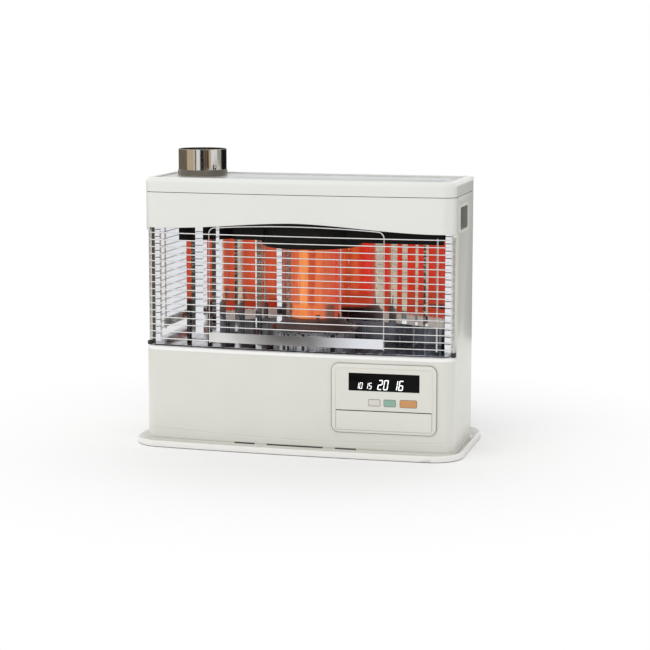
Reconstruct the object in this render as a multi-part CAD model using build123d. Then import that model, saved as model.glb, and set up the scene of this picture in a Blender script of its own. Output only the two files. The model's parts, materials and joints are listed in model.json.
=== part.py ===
from build123d import *
from math import atan2, cos, degrees, hypot, pi, radians, sin
import os

# Flued pot-burner oil heater, millimetres. The origin is at the centre of the floor tray's underside,
# +X is to the right seen from the front, -Y is the front and +Z is up.
os.makedirs("parts", exist_ok=True)

# Floor tray
TRAY_W = 740.0
TRAY_D = 350.0
TRAY_BOW = 12.0
TRAY_CORNER_R = 62.0
TRAY_H = 14.0
TRAY_FLOOR = 1.5
TRAY_SLOPE = 40.0

# Casing
CASE_W = 700.0
CASE_FRONT = -118.0
CASE_BOW = 13.0
CASE_BACK = 112.0
CORNER_FRONT_R = 26.0
CORNER_BACK_R = 10.0
SHEET = 1.2
GAP = 0.4
Z_BASE = 12.8
Z_CASE = 14.4
Z_LIP = 218.5
LIP_DEPTH = 14.0
Z_ARCH_END = 484.0
Z_ARCH_MID = 501.0
ARCH_HALF = 285.0
ARCH_BLEND = 260.0
Z_SEAM = 562.0
Z_TOP = 595.0
FRONT_SEAM_Y = -83.0
SIDE_RETURN = 24.0
RIM_W = 15.0
RIM_R = 12.0
Z_TOP_PLATE = 590.6
GRIP_Y = -13.0
GRIP_Z = 513.0
GRIP_W = 96.0
GRIP_H = 54.0
GRIP_DEPTH = 22.0
SLOTS = ((-115, 47), (0, 128), (115, 47))

# Flue
FLUE_X = -262.8
FLUE_Y = 38.0
FLUE_R = 54.5
FLUE_BORE_R = 53.6
Z_FLUE = 651.0

# Firing chamber
Z_FLOOR = 220.0
Z_CEILING = 506.0
CHAMBER_HALF = 336.6
BURNER_X = 10.0
BURNER_Y = 0.0
POT_R = 80.0
PAN_R = 98.0
GLASS_R = 62.0
GLOW_R = 53.0
FLUTES = 20
Z_GLASS_FOOT = 280.4
Z_GLASS_TOP = 438.0
DRUM_R = 112.0
DRUM_X = 4.0
DRUM_Y = 4.0
DRUM_BACK = 101.0
Z_DRUM = 442.0
Z_SHIELD = 456.0
SHIELD_Y = -62.0

# Mirrors. Each facet of a wing has its width and the direction in plan that it shows to someone
# standing at VIEWER, in degrees from the front towards +X. A facet marked GLOW shows the burner.
MIRROR_T = 0.8
VIEWER = (1060.0, -3920.0)
GLOW = None
FRONT = -6.0
SHADE = 24.0
ROOM_RIGHT = 68.0
ROOM_LEFT = -38.0
LEFT_START = (-336.5, -82.0)
LEFT_FACETS = (
    (14, FRONT), (62, ROOM_RIGHT), (14, GLOW), (9, SHADE), (18, FRONT), (10, ROOM_RIGHT), (14, GLOW), (9, SHADE),
    (8, FRONT), (16, ROOM_RIGHT), (24, GLOW), (7, SHADE), (17, ROOM_RIGHT), (28, GLOW), (14, SHADE), (4, GLOW),
    (6, SHADE), (4, GLOW), (5, SHADE), (18, GLOW), (12, FRONT), (8, SHADE),
)
BACK_MIRROR = ((-83.6, 95.8), (-60, 102.5), (60, 102.5), (64.2, 101.7))
RIGHT_START = (65.0, 101.5)
RIGHT_FACETS = (
    (12, ROOM_LEFT), (12, FRONT), (38, GLOW), (24, ROOM_LEFT), (15, GLOW), (20, ROOM_LEFT), (14, GLOW),
    (13, ROOM_LEFT), (24, GLOW), (7, ROOM_LEFT), (14, GLOW), (10, SHADE), (4, ROOM_LEFT), (28, GLOW),
    (3, ROOM_LEFT), (20, GLOW),
)
RIGHT_SIDE = ((322.0, -76.0), (336.5, -80.0))

# Guard
GUARD_INSET = 5.5
GUARD_R = 17.0
WIRE_R = 1.3
ROD_R = 2.0
WELD = 0.3
WIRES = 16
Z_WIRE_LOW = 236.4
WIRE_PITCH = 15.74
GUARD_END_Y = -94.0
STAY_HALF = 197.0
STAY_TOP = 487.0
CORNER_ROD_X = 312.0
BUSH_H = 10.0

# Control unit, in its own frame: X across, -Y outwards, Z up
CTRL_X = 199.5
CTRL_Y = -126.4
CTRL_Z = 125.4
CTRL_TURN = 2.42
BEZEL_W = 230.0
BEZEL_H = 152.0
BEZEL_R = 16.0
BEZEL_PROUD = 2.0
WINDOW = (0.4, 36.3, 155.0, 38.5)
KEY_Z = -8.3
FRONT_KEYS = {
    "button_white": (-20.5, 24.7, 13.4),
    "button_green": (13.4, 24.8, 14.0),
    "button_orange": (54.1, 35.8, 15.4),
}
DOOR_W = 211.0
DOOR_H = 44.0
DOOR_T = 2.4
DOOR_Z = -48.3
BAY_BACK = 18.0
SETTING_KEYS = {"setting_key_left": -60.0, "setting_key_middle": 0.0, "setting_key_right": 60.0}
FIT = 0.3

# Rear and inner pieces
BLOWER_X = 185.0
BLOWER_Z = 118.0
BLOWER_R = 62.0
COVER_W = 170.0
COVER_H = 160.0
COVER_Y = 158.0
BOARD_X = -150.0
VALVE_X = -210.0
FUEL_X = -205.0
FUEL_Z = 62.0
GLAND_X = 292.0
GLAND_Z = 50.0


def block(x0, x1, y0, y1, z0, z1):
    """A box between two corners."""
    centre = Pos((x0 + x1) / 2, (y0 + y1) / 2, (z0 + z1) / 2)
    return centre * Box(x1 - x0, y1 - y0, z1 - z0)


def bar(start, end, section):
    """A section drawn along a straight line."""
    a, b = Vector(*start), Vector(*end)
    return extrude(Plane(origin=a, z_dir=b - a) * section, (b - a).length)


def rod(start, end, radius):
    """A round bar from one point to another."""
    return bar(start, end, Circle(radius))


def bowed(half, front, back, front_r, back_r, bow):
    """A plan outline with a bowed front and four rounded corners."""
    nose = ThreePointArc((-half, front), (0, front - bow), (half, front))
    rest = Polyline((half, front), (half, back), (-half, back), (-half, front))
    face = Face(Wire([nose, *rest.edges()]))
    face = face.fillet_2d(front_r, face.vertices().sort_by(Axis.Y)[:2])
    return face.fillet_2d(back_r, face.vertices().sort_by(Axis.Y)[-2:])


def case_plan(inset):
    """The casing's outline, moved inwards."""
    front_r = max(CORNER_FRONT_R - inset, 4.0)
    back_r = max(CORNER_BACK_R - inset, 3.0)
    return bowed(CASE_W / 2 - inset, CASE_FRONT + inset, CASE_BACK - inset, front_r, back_r, CASE_BOW)


def slab(face, z0, z1):
    """A plan face raised between two heights."""
    return Pos(0, 0, z0) * extrude(face, z1 - z0, dir=(0, 0, 1))


def case_wall(z0, z1, thickness=SHEET):
    """The casing's sheet wall between two heights."""
    return slab(case_plan(0), z0, z1) - slab(case_plan(thickness), z0 - 1, z1 + 1)


def front_zone(z0, z1):
    """The space ahead of the seam between front and side panels."""
    return block(-400, 400, -200, FRONT_SEAM_Y, z0, z1)


def through_front(face, y0=-160, y1=-60):
    """A face drawn in the XZ plane, pushed through the front wall."""
    return Pos(0, y1, 0) * extrude(Plane.XZ * face, y1 - y0, dir=(0, -1, 0))


def sheet_path(points, thickness):
    """A bent sheet's section: the line of points, thickened to its left."""
    moved = []
    for i, (x, y) in enumerate(points):
        normals = []
        for a, b in ((i - 1, i), (i, i + 1)):
            if a < 0 or b >= len(points):
                continue
            dx, dy = points[b][0] - points[a][0], points[b][1] - points[a][1]
            size = hypot(dx, dy)
            normals.append((-dy / size, dx / size))
        nx = sum(n[0] for n in normals) / len(normals)
        ny = sum(n[1] for n in normals) / len(normals)
        square = nx * nx + ny * ny
        moved.append((x + thickness * nx / square, y + thickness * ny / square))
    return Face(Wire.make_polygon([*points, *reversed(moved)], close=True))


def turned(profile, x=BURNER_X, y=BURNER_Y):
    """A round piece from its radius and height profile."""
    face = Face(Wire.make_polygon([(r, 0, z) for r, z in profile], close=True))
    return Pos(x, y, 0) * revolve(face, Axis.Z)


def mirrored(shape):
    """The same piece for the other side."""
    return mirror(shape, about=Plane.YZ)


# Tray, base and casing


def tray_plan(inset):
    """The floor tray's outline, moved inwards."""
    corner = TRAY_CORNER_R - inset
    front = -TRAY_D / 2 + TRAY_BOW + inset
    return bowed(TRAY_W / 2 - inset, front, TRAY_D / 2 - inset, corner, corner, TRAY_BOW)


def floor_tray():
    """Pressed tray: flat floor, sloping inner wall, rounded rim and a hollow edge below."""
    body = slab(tray_plan(0), 0, TRAY_H)
    body = chamfer(body.edges().group_by(Axis.Z)[-1], 2.0)
    dish = Pos(0, 0, TRAY_FLOOR) * extrude(tray_plan(17), TRAY_H, taper=-TRAY_SLOPE)
    hollow = slab(tray_plan(2.4), -1, TRAY_H - 2)
    keep = extrude(tray_plan(16), TRAY_H, taper=-TRAY_SLOPE)
    keep += slab(tray_plan(15.2), -2, 0)
    return body - dish - (hollow - keep)


def levelling_feet():
    """Four adjuster feet standing in the tray: a tapered pad on a screw."""
    pad = extrude(RegularPolygon(13, 8), 5, taper=14)
    screw = Pos(0, 0, 5) * extrude(RegularPolygon(4, 6), Z_BASE - TRAY_FLOOR - 5)
    foot = pad + screw
    return Compound([Pos(x, y, TRAY_FLOOR) * foot for x in (-300, 300) for y in (-80, 80)])


def base_plate():
    """Floor of the casing: a pan with a turned-up edge."""
    pan = slab(case_plan(SHEET + GAP), Z_BASE, 30.0)
    return pan - slab(case_plan(2 * SHEET + GAP), Z_BASE + SHEET, 31.0)


def crease():
    """Cutter for the pressed line near the front panel's foot, a shallow arched groove."""
    low = ThreePointArc((-318, 35.0), (0, 25.0), (318, 32.0))
    high = ThreePointArc((-318, 37.4), (0, 27.4), (318, 34.4))
    ends = [Line((-318, 35.0), (-318, 37.4)), Line((318, 32.0), (318, 34.4))]
    band = through_front(Face(Wire([low, high, *ends])))
    return band - slab(case_plan(0.5), 0, 80)


def lower_front_panel():
    """Bowed front panel with its white lip, control window, air slots and pressed crease."""
    body = slab(case_plan(0), Z_CASE, Z_LIP)
    body = chamfer(body.edges().group_by(Axis.Z)[-1], 1.6)
    body -= slab(case_plan(SHEET), Z_CASE - 1, Z_LIP - SHEET)
    body -= slab(case_plan(LIP_DEPTH), Z_LIP - 10, Z_LIP + 10)
    body &= front_zone(0, 300)
    body -= bezel_place(plate(0, 0, BEZEL_W - 14, BEZEL_H - 6, 0, -30, 30))
    for x, width in SLOTS:
        body -= through_front(Pos(x, Z_CASE + 3.4) * Rectangle(width, 4.4))
    return body - crease()


def side_panel_right():
    """Side wall with its rear return, its front flange and the hole for the hand grip."""
    x = CASE_W / 2
    flange = FRONT_SEAM_Y + GAP
    body = case_wall(Z_CASE, Z_SEAM) & block(0, 400, flange, 200, 0, 600)
    body -= block(0, x - SIDE_RETURN, 90, 200, 0, 600)
    body += block(x - 13, x - 0.6, flange, flange + SHEET, Z_LIP, Z_ARCH_END)
    grip = Plane.YZ * Pos(GRIP_Y, GRIP_Z) * Rectangle(GRIP_W - 2, GRIP_H - 2)
    return body - Pos(x - 10, 0, 0) * extrude(grip, 30)


def side_panel_left():
    """The right side wall's mirror image."""
    return mirrored(side_panel_right())


def handle_cup_right():
    """Moulded hand grip: a flange outside the panel and a pocket behind it."""
    x = CASE_W / 2
    centre = Plane.YZ * Pos(GRIP_Y, GRIP_Z)
    flange = centre * RectangleRounded(GRIP_W + 8, GRIP_H + 8, 12)
    outer = centre * Rectangle(GRIP_W - 6, GRIP_H - 6)
    inner = centre * Rectangle(GRIP_W - 10, GRIP_H - 10)
    body = Pos(x + 0.1, 0, 0) * extrude(flange, 1.2)
    body += Pos(x - GRIP_DEPTH, 0, 0) * extrude(outer, GRIP_DEPTH + 0.3)
    return body - Pos(x - GRIP_DEPTH + 2, 0, 0) * extrude(inner, 30)


def handle_cup_left():
    """The right hand grip's mirror image."""
    return mirrored(handle_cup_right())


def arch_cutter():
    """The space below the upper front panel's arched edge."""
    half, z = ARCH_HALF, Z_ARCH_END
    rise = ThreePointArc((-half, z), (0, Z_ARCH_MID), (half, z))
    rest = Polyline((half, z), (400, z), (400, 400), (-400, 400), (-400, z), (-half, z))
    face = Face(Wire([rise, *rest.edges()]))
    ends = [v for v in face.vertices() if abs(abs(v.X) - half) < 1 and abs(v.Y - z) < 1]
    return through_front(face.fillet_2d(ARCH_BLEND, ends))


def upper_front_panel():
    """Band above the window with an inward lip that follows its arched edge."""
    cut = arch_cutter()
    lip = case_wall(Z_ARCH_END, 520, 9) - Pos(0, 0, SHEET) * (block(-400, 400, -160, -60, 400, 530) - cut)
    body = case_wall(Z_ARCH_END, Z_SEAM) + (lip & block(-400, 400, -200, 0, 400, 506))
    return (body & front_zone(400, 600)) - cut


def top_cover():
    """Top frame with a rounded outer edge and a turned-down inner rim."""
    outer = slab(case_plan(0), Z_SEAM + GAP, Z_TOP)
    outer = chamfer(outer.edges().group_by(Axis.Z)[-1], RIM_R * 0.6)
    outer = chamfer(outer.edges().group_by(Axis.Z)[-1], RIM_R * 0.2)
    inner = slab(case_plan(SHEET), Z_SEAM - 10, Z_TOP - SHEET)
    inner = chamfer(inner.edges().group_by(Axis.Z)[-1], RIM_R * 0.6)
    body = outer - inner - slab(case_plan(RIM_W), Z_TOP - 20, Z_TOP + 10)
    rim = slab(case_plan(RIM_W - SHEET), Z_TOP_PLATE - 2, Z_TOP - 0.4) - slab(case_plan(RIM_W), 560, 620)
    return body + rim


def top_plate():
    """Recessed plate with pressed ribs, warm-air slots, a flue hole and a finger hole."""
    body = slab(case_plan(RIM_W + GAP), Z_TOP_PLATE, Z_TOP_PLATE + SHEET)
    for y in (-76, -44, -12):
        body += Pos(75, y, Z_TOP_PLATE + SHEET) * extrude(Rectangle(470, 9), 1.0, taper=50)
    for i in range(7):
        body -= block(-141 + 62 * i, -91 + 62 * i, 75.5, 80.5, Z_TOP_PLATE - 2, Z_TOP_PLATE + 4)
    body -= rod((FLUE_X, FLUE_Y, 570), (FLUE_X, FLUE_Y, 600), FLUE_BORE_R)
    return body - block(309, 327, 36, 45, 570, 610)


def back_panel():
    """Rear wall with vent slots and holes for the blower, the fuel pipe and the mains lead."""
    half = CASE_W / 2 - SIDE_RETURN - GAP
    y = CASE_BACK
    body = block(-half, half, y - SHEET, y, Z_CASE + 0.2, Z_SEAM - 0.2)
    for row in range(5):
        for x in (-160, 0, 160):
            body -= block(x - 66, x + 66, y - 10, y + 10, 330 + 30 * row, 335 + 30 * row)
    body -= bar((BLOWER_X, 100, BLOWER_Z), (BLOWER_X, 130, BLOWER_Z), RegularPolygon(58, 16))
    body -= bar((FUEL_X, 100, FUEL_Z), (FUEL_X, 130, FUEL_Z), RegularPolygon(9.4, 8))
    return body - bar((GLAND_X, 100, GLAND_Z), (GLAND_X, 130, GLAND_Z), RegularPolygon(8.8, 8))


def rear_cover():
    """Cover over the blower's intake: drafted walls and a slotted grille."""
    centre = Plane.XZ * Pos(BLOWER_X, BLOWER_Z)
    depth = COVER_Y - CASE_BACK - 0.1
    body = Pos(0, CASE_BACK + 0.1, 0) * extrude(centre * RectangleRounded(COVER_W, COVER_H, 14), -depth, taper=8)
    inside = centre * Rectangle(COVER_W - 9, COVER_H - 9)
    body -= Pos(0, CASE_BACK - 1, 0) * extrude(inside, -(depth - 1), taper=8)
    for i in range(6):
        z = BLOWER_Z - 42.5 + 16 * i
        body -= block(BLOWER_X - 56, BLOWER_X + 56, COVER_Y - 8, COVER_Y + 5, z, z + 5)
    return body


def panel_screws():
    """Hexagon-head screws down both sides of the back panel and above the rear cover."""
    places = [(x, z) for x in (-318, 318) for z in (40, 300, 540)]
    places += [(BLOWER_X - 78, BLOWER_Z + 88), (BLOWER_X + 78, BLOWER_Z + 88)]
    y = CASE_BACK + 0.05
    return Compound([bar((x, y, z), (x, y + 2.4, z), RegularPolygon(4.4, 6)) for x, z in places])


# Firing chamber and burner


def azimuth(x, y, target):
    """Direction to a target in plan, in degrees from the front towards +X."""
    return degrees(atan2(target[0] - x, y - target[1]))


def mirror_plan(start, facets):
    """Plan of a folded mirror: each facet is turned half-way between the viewer and what it shows."""
    points = [start]
    for width, shows in facets:
        x, y = points[-1]
        aim = azimuth(x, y, (BURNER_X, BURNER_Y)) if shows is GLOW else shows
        turn = radians((azimuth(x, y, VIEWER) + aim) / 2)
        points.append((x + width * cos(turn), y + width * sin(turn)))
    return points


def mirror_sheet(points):
    """A folded mirror between the chamber's floor and ceiling."""
    return slab(sheet_path(points, MIRROR_T), Z_FLOOR + 1.6, Z_CEILING - 0.3)


def reflector_left():
    """Folded mirror wing from the window's left edge to the back mirror, one sheet."""
    return mirror_sheet(mirror_plan(LEFT_START, LEFT_FACETS))


def reflector_back():
    """Mirror behind the burner, with its two ends turned towards it."""
    return mirror_sheet(BACK_MIRROR)


def reflector_right():
    """Folded mirror wing with a plain side and a front flange, one sheet."""
    return mirror_sheet([*mirror_plan(RIGHT_START, RIGHT_FACETS), *RIGHT_SIDE])


def chamber_plan(half, front, back):
    """Plan of the firing chamber, bowed like the casing's front."""
    nose = ThreePointArc((-half, front), (0, front - CASE_BOW), (half, front))
    rest = Polyline((half, front), (half, back), (-half, back), (-half, front))
    return Face(Wire([nose, *rest.edges()]))


def chamber_floor():
    """Mirror floor of the chamber with the burner's hole."""
    body = slab(chamber_plan(CHAMBER_HALF, -101.5, 104), Z_FLOOR, Z_FLOOR + SHEET)
    return body - rod((BURNER_X, BURNER_Y, 200), (BURNER_X, BURNER_Y, 240), POT_R + 4.5)


def chamber_ceiling():
    """Partition above the mirrors, cut away under the flue duct and round the hand grips."""
    body = slab(chamber_plan(CHAMBER_HALF, -104, 108), Z_CEILING, Z_CEILING + SHEET)
    reach = GRIP_W / 2
    notch = block(CASE_W / 2 - GRIP_DEPTH - 1, 400, GRIP_Y - reach, GRIP_Y + reach, 500, 520)
    body -= notch + mirrored(notch)
    return body - block(FLUE_X + 60, BURNER_X - 20, FLUE_Y - 40, FLUE_Y + 40, 500, 520)


def burner_pot():
    """Deep pot, open at the top, with a turned-out rim."""
    shell = extrude(RegularPolygon(POT_R, 20), 93) - Pos(0, 0, 2) * extrude(RegularPolygon(POT_R - 3, 20), 100)
    rim = extrude(RegularPolygon(84, 20), 2) - extrude(RegularPolygon(POT_R - 1, 20), 2)
    return Pos(BURNER_X, BURNER_Y, 128) * (shell + Pos(0, 0, 91) * rim)


def pot_shield():
    """Bright pan round the burner: upright wall and flared rim."""
    z = Z_FLOOR + SHEET + 0.1
    return turned([(90, z), (91.5, z), (91.5, 251), (PAN_R, 258), (PAN_R - 2.2, 258), (90, 251)])


def burner_ring():
    """Cast ring that carries the glass: skirt, sloping shoulder and glass seat."""
    z = Z_GLASS_FOOT - 0.1
    return turned([(48, 222), (86, 222), (86, 258), (GLASS_R + 3, z), (48, z)])


def glow_cylinder():
    """Fire-bright inner cylinder: a fluted tube on a plain foot."""
    points = []
    for i in range(FLUTES * 2):
        angle = pi * i / FLUTES
        radius = GLOW_R if i % 2 == 0 else GLOW_R - 2.2
        points.append((BURNER_X + radius * cos(angle), BURNER_Y + radius * sin(angle)))
    body = slab(Face(Wire.make_polygon(points, close=True)), Z_GLASS_FOOT, 432)
    return body - bar((BURNER_X, BURNER_Y, 270), (BURNER_X, BURNER_Y, 440), RegularPolygon(GLOW_R - 4, 20))


def glow_cap():
    """Bevelled plate that closes the glowing cylinder."""
    disc = extrude(RegularPolygon(GLOW_R - 1, 24), 6, taper=55)
    return Pos(BURNER_X, BURNER_Y, 432.2) * disc


def glass_cylinder():
    """Heat-proof glass tube round the glowing cylinder."""
    inner = GLASS_R - 2.4
    return turned([(inner, Z_GLASS_FOOT), (GLASS_R, Z_GLASS_FOOT), (GLASS_R, Z_GLASS_TOP), (inner, Z_GLASS_TOP)])


def exchanger_drum():
    """Black drum above the burner with a bevelled lower edge and a flat back."""
    top = Z_CEILING - 0.4
    profile = [(0, top), (DRUM_R, top), (DRUM_R, Z_DRUM + 4), (DRUM_R - 6, Z_DRUM), (0, Z_DRUM)]
    return turned(profile, DRUM_X, DRUM_Y) - block(-200, 200, DRUM_BACK, 200, 400, 600)


def heat_shields():
    """Black shields either side of the drum: flat plates with an upright front skirt."""
    y, top = SHIELD_Y, Z_CEILING - 0.4
    right = [(316, y), (303, 4), (262, 38), (200, 58), (110, 84)]
    left = [(-104, 84), (-160, 44), (-160, y)]
    plan = Face(Wire.make_polygon([*right, *left], close=True))
    body = slab(plan, Z_SHIELD, Z_SHIELD + 1) + block(-160, 316, y, y + 1, Z_SHIELD, top)
    return body - bar((DRUM_X, DRUM_Y, 440), (DRUM_X, DRUM_Y, 520), RegularPolygon(DRUM_R + 3, 24))


def flue_duct():
    """Flat duct that joins the drum to the flue, with a round neck."""
    x0, x1 = FLUE_X - 52, BURNER_X + 30
    y0, y1 = FLUE_Y - 53, FLUE_Y + 53
    z0, z1 = Z_CEILING + SHEET + 0.1, 560
    body = block(x0, x1, y0, y1, z0, z1) - block(x0 + 1.2, x1 - 1.2, y0 + 1.2, y1 - 1.2, z0 + 1.2, z1 - 1.2)
    neck = bar((FLUE_X, FLUE_Y, z1 - 1), (FLUE_X, FLUE_Y, Z_TOP_PLATE - 0.2), RegularPolygon(51, 20))
    return body + neck - bar((FLUE_X, FLUE_Y, z1 - 5), (FLUE_X, FLUE_Y, 600), RegularPolygon(49.6, 20))


def flue_stub():
    """Stainless stub for the flue pipe: flange, base band and plain bore."""
    z, band = Z_TOP_PLATE + SHEET, FLUE_R + 1.6
    foot = [(FLUE_BORE_R, z), (57.4, z), (band, z + 1.5), (band, z + 12), (FLUE_R, z + 12)]
    return turned([*foot, (FLUE_R, Z_FLUE), (FLUE_BORE_R, Z_FLUE)], FLUE_X, FLUE_Y)


def flue_spring_tab():
    """Spring tab on the stub that holds the flue pipe in."""
    z = Z_TOP_PLATE + 14
    reach = FLUE_R + 2
    body = block(reach - 0.2, reach + 1.2, -7, 7, z, z + 12)
    body += block(reach + 0.5, reach + 4.5, -4, 4, z + 1, z + 5)
    body += bar((reach + 0.8, 0, z + 8.6), (reach + 3.2, 0, z + 8.6), RegularPolygon(3, 6))
    return Pos(FLUE_X, FLUE_Y, 0) * Rot(0, 0, -38) * body


def igniter():
    """Ceramic igniter at the front of the burner ring, with a hexagonal head."""
    x, y = BURNER_X + 26, BURNER_Y - 66
    body = bar((x, y, 279), (x, y, 290), RegularPolygon(3.6, 8))
    return body + bar((x, y, 290), (x, y, 294), RegularPolygon(5, 6))


def flame_sensor():
    """Flame rod beside the burner ring."""
    x, y = BURNER_X - 48, BURNER_Y - 96
    tip = bar((x, y, 236), (x, y, 264), RegularPolygon(1.4, 6))
    return tip + bar((x, y, Z_FLOOR + SHEET + 0.1), (x, y, 236), RegularPolygon(3.5, 6))


# Guard


def guard_path():
    """Centre line of a guard wire seen from above, from one end rod to the other."""
    half = CASE_W / 2 - GUARD_INSET
    front = CASE_FRONT + GUARD_INSET - 2
    face = bowed(half, front, GUARD_END_Y + 3, GUARD_R, 3, CASE_BOW)
    edges = [e for e in face.edges() if max(v.Y for v in e.vertices()) < GUARD_END_Y + 0.1]
    return Wire(edges)


def guard_wires():
    """Sixteen horizontal wires that bow across the front and wrap both corners."""
    path = guard_path()
    start = Plane(origin=path @ 0, z_dir=path % 0)
    wire = sweep(start * RegularPolygon(WIRE_R, 4), path).solid()
    return Compound([Pos(0, 0, Z_WIRE_LOW + WIRE_PITCH * i) * wire for i in range(WIRES)])


def guard_y(x):
    """The wires' centre line at a given place across the front."""
    half = CASE_W / 2 - GUARD_INSET
    return CASE_FRONT + GUARD_INSET - 2 - CASE_BOW * (1 - (x / half) ** 2)


def guard_frame():
    """End rods, corner rods and the inverted-U stay behind the wires, in welded lengths."""
    top = Z_WIRE_LOW + WIRE_PITCH * (WIRES - 1) + 3
    half = CASE_W / 2 - GUARD_INSET
    behind = WIRE_R + ROD_R - WELD
    leg, y = Z_WIRE_LOW - 5, guard_y(STAY_HALF) + WIRE_R * 2 - WELD + 0.2
    knee = STAY_TOP - 16
    section, round_bar = RegularPolygon(1.6, 6), RegularPolygon(ROD_R, 6)
    pieces = []
    for side in (-1, 1):
        end = side * half
        pieces.append(bar((end, GUARD_END_Y, Z_LIP + 1), (end, GUARD_END_Y, Z_ARCH_END - 1), round_bar))
        x = side * CORNER_ROD_X
        pieces.append(bar((x, guard_y(x) + behind, leg), (x, guard_y(x) + behind, top), round_bar))
        pieces.append(bar((side * STAY_HALF, y, leg), (side * STAY_HALF, y, knee), section))
    points = [(-STAY_HALF, y, knee), (-STAY_HALF, y, STAY_TOP), (0, y - 3.6, STAY_TOP + 7), (STAY_HALF, y, STAY_TOP)]
    path = FilletPolyline(*points, (STAY_HALF, y, knee), radius=[14, 900, 14])
    start = Plane(origin=path @ 0, z_dir=path % 0)
    pieces.append(sweep(start * section, path).solid())
    return Compound(pieces)


def guard_band():
    """Chrome band across the foot of the stay, bowed with the guard."""
    half = STAY_HALF
    y0, y1 = guard_y(half) - WIRE_R - 0.85, guard_y(0) - WIRE_R - 0.85
    front = ThreePointArc((-half, y0), (0, y1), (half, y0))
    back = ThreePointArc((-half, y0 + 0.8), (0, y1 + 0.8), (half, y0 + 0.8))
    ends = [Line((s * half, y0), (s * half, y0 + 0.8)) for s in (-1, 1)]
    return slab(Face(Wire([front, back, *ends])), Z_WIRE_LOW - 2.5, Z_WIRE_LOW + 19)


def guard_bushing(side, upper):
    """Nylon block for one end rod: a hole at the hinge side, an open fork at the catch side."""
    x, y = side * (CASE_W / 2 - GUARD_INSET), GUARD_END_Y
    z = Z_ARCH_END - BUSH_H - 0.1 if upper else Z_LIP + 0.1
    inner, outer = x - 7 * side, x + 5.2 * side
    body = block(min(inner, outer), max(inner, outer), y - 7, y + 8, z, z + BUSH_H)
    body -= Pos(outer, y - 7, z) * Rot(0, 0, 45) * Box(5, 5, 4 * BUSH_H)
    if side > 0:
        reach = ROD_R + FIT
        return (body - block(x - reach, x + reach, y - 10, y + reach, z - 1, z + BUSH_H + 1)).solid()
    return (body - rod((x, y, z - 1), (x, y, z + BUSH_H + 1), ROD_R + FIT)).solid()


def guard_bushings():
    """Hinge blocks at the left corner and catch forks at the right corner."""
    return Compound([guard_bushing(side, upper) for side in (-1, 1) for upper in (False, True)])


# Control unit


def bezel_place(shape):
    """Moves a piece of the control unit from its own frame to the front panel."""
    return Pos(CTRL_X, CTRL_Y, CTRL_Z) * Rot(0, 0, CTRL_TURN) * shape


def plate(x, z, width, height, radius, y0, y1):
    """A rounded plate facing the front, in the control unit's frame."""
    face = RectangleRounded(width, height, radius) if radius else Rectangle(width, height)
    return Pos(0, y1, 0) * extrude(Plane.XZ * Pos(x, z) * face, y1 - y0)


def door_axis():
    """Depth and height of the door's hinge axis in the control unit's frame."""
    return -BEZEL_PROUD + 0.3 + DOOR_T / 2, DOOR_Z - DOOR_H / 2 + DOOR_T / 2


def control_bezel():
    """Moulded bezel: rounded face, display window, key holes and the bay behind the door."""
    body = plate(0, 0, BEZEL_W, BEZEL_H, BEZEL_R, -BEZEL_PROUD, -0.5)
    body = chamfer(body.edges().group_by(Axis.Y)[0], 1.2)
    body += plate(0, 0, BEZEL_W - 16, BEZEL_H - 10, 0, -0.6, 12)
    body -= plate(0, 0, BEZEL_W - 19, BEZEL_H - 13, 0, 0.6, 30)
    bay_w, bay_h = DOOR_W + 2 * FIT, DOOR_H + 2 * FIT
    body += plate(0, DOOR_Z, bay_w + 3.6, bay_h + 3.6, 0, 0, BAY_BACK)
    body -= plate(0, DOOR_Z, bay_w, bay_h, 0, -5, BAY_BACK - 1.8)
    x, z, width, height = WINDOW
    body -= plate(x, z, width + 2 * FIT, height + 2 * FIT, 0, -5, 30)
    for x, width, height in FRONT_KEYS.values():
        body -= plate(x, KEY_Z, width + 2 * FIT, height + 2 * FIT, 0, -5, 2)
    for x in SETTING_KEYS.values():
        body -= plate(x, DOOR_Z, 26 + 2 * FIT, 12 + 2 * FIT, 0, 10, 30)
    y, z = door_axis()
    return bezel_place(body - bar((-DOOR_W / 2 - 1.6, y, z), (DOOR_W / 2 + 1.6, y, z), Circle(1.0)))


def display_lens():
    """Dark window over the display."""
    return bezel_place(plate(*WINDOW, 0, -BEZEL_PROUD + 0.5, 0.6))


def display_board():
    """Circuit board behind the bezel with the display glass and key switches on it."""
    body = plate(0, 23, BEZEL_W - 21, 91, 0, 9, 10.6)
    x, z, width, height = WINDOW
    body += plate(x, z, width - 5, height - 4, 0, 2.4, 9)
    for x, width, height in FRONT_KEYS.values():
        body += plate(x, KEY_Z, 6, 6, 0, 5.6, 9)
    return bezel_place(body)


def front_key(x, width, height):
    """One front button: bevelled cap with a collar that stays behind the bezel."""
    cap = plate(x, KEY_Z, width, height, 0, -BEZEL_PROUD - 1.1, 2.0)
    cap = chamfer(cap.edges().group_by(Axis.Y)[0], 0.7)
    return bezel_place(cap + plate(x, KEY_Z, width + 3, height + 3, 0, 0.9, 2.4))


def setting_key(x):
    """One rubber setting key in the bay behind the door."""
    cap = plate(x, DOOR_Z, 26, 12, 0, BAY_BACK - 4.6, BAY_BACK + 1.0)
    cap = chamfer(cap.edges().group_by(Axis.Y)[0], 1.0)
    return bezel_place(cap + plate(x, DOOR_Z, 29, 15, 0, BAY_BACK + 0.3, BAY_BACK + 1.4))


def setting_board():
    """Small board behind the setting keys."""
    return bezel_place(plate(0, DOOR_Z, 190, 30, 0, BAY_BACK + 3.2, BAY_BACK + 4.8))


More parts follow.
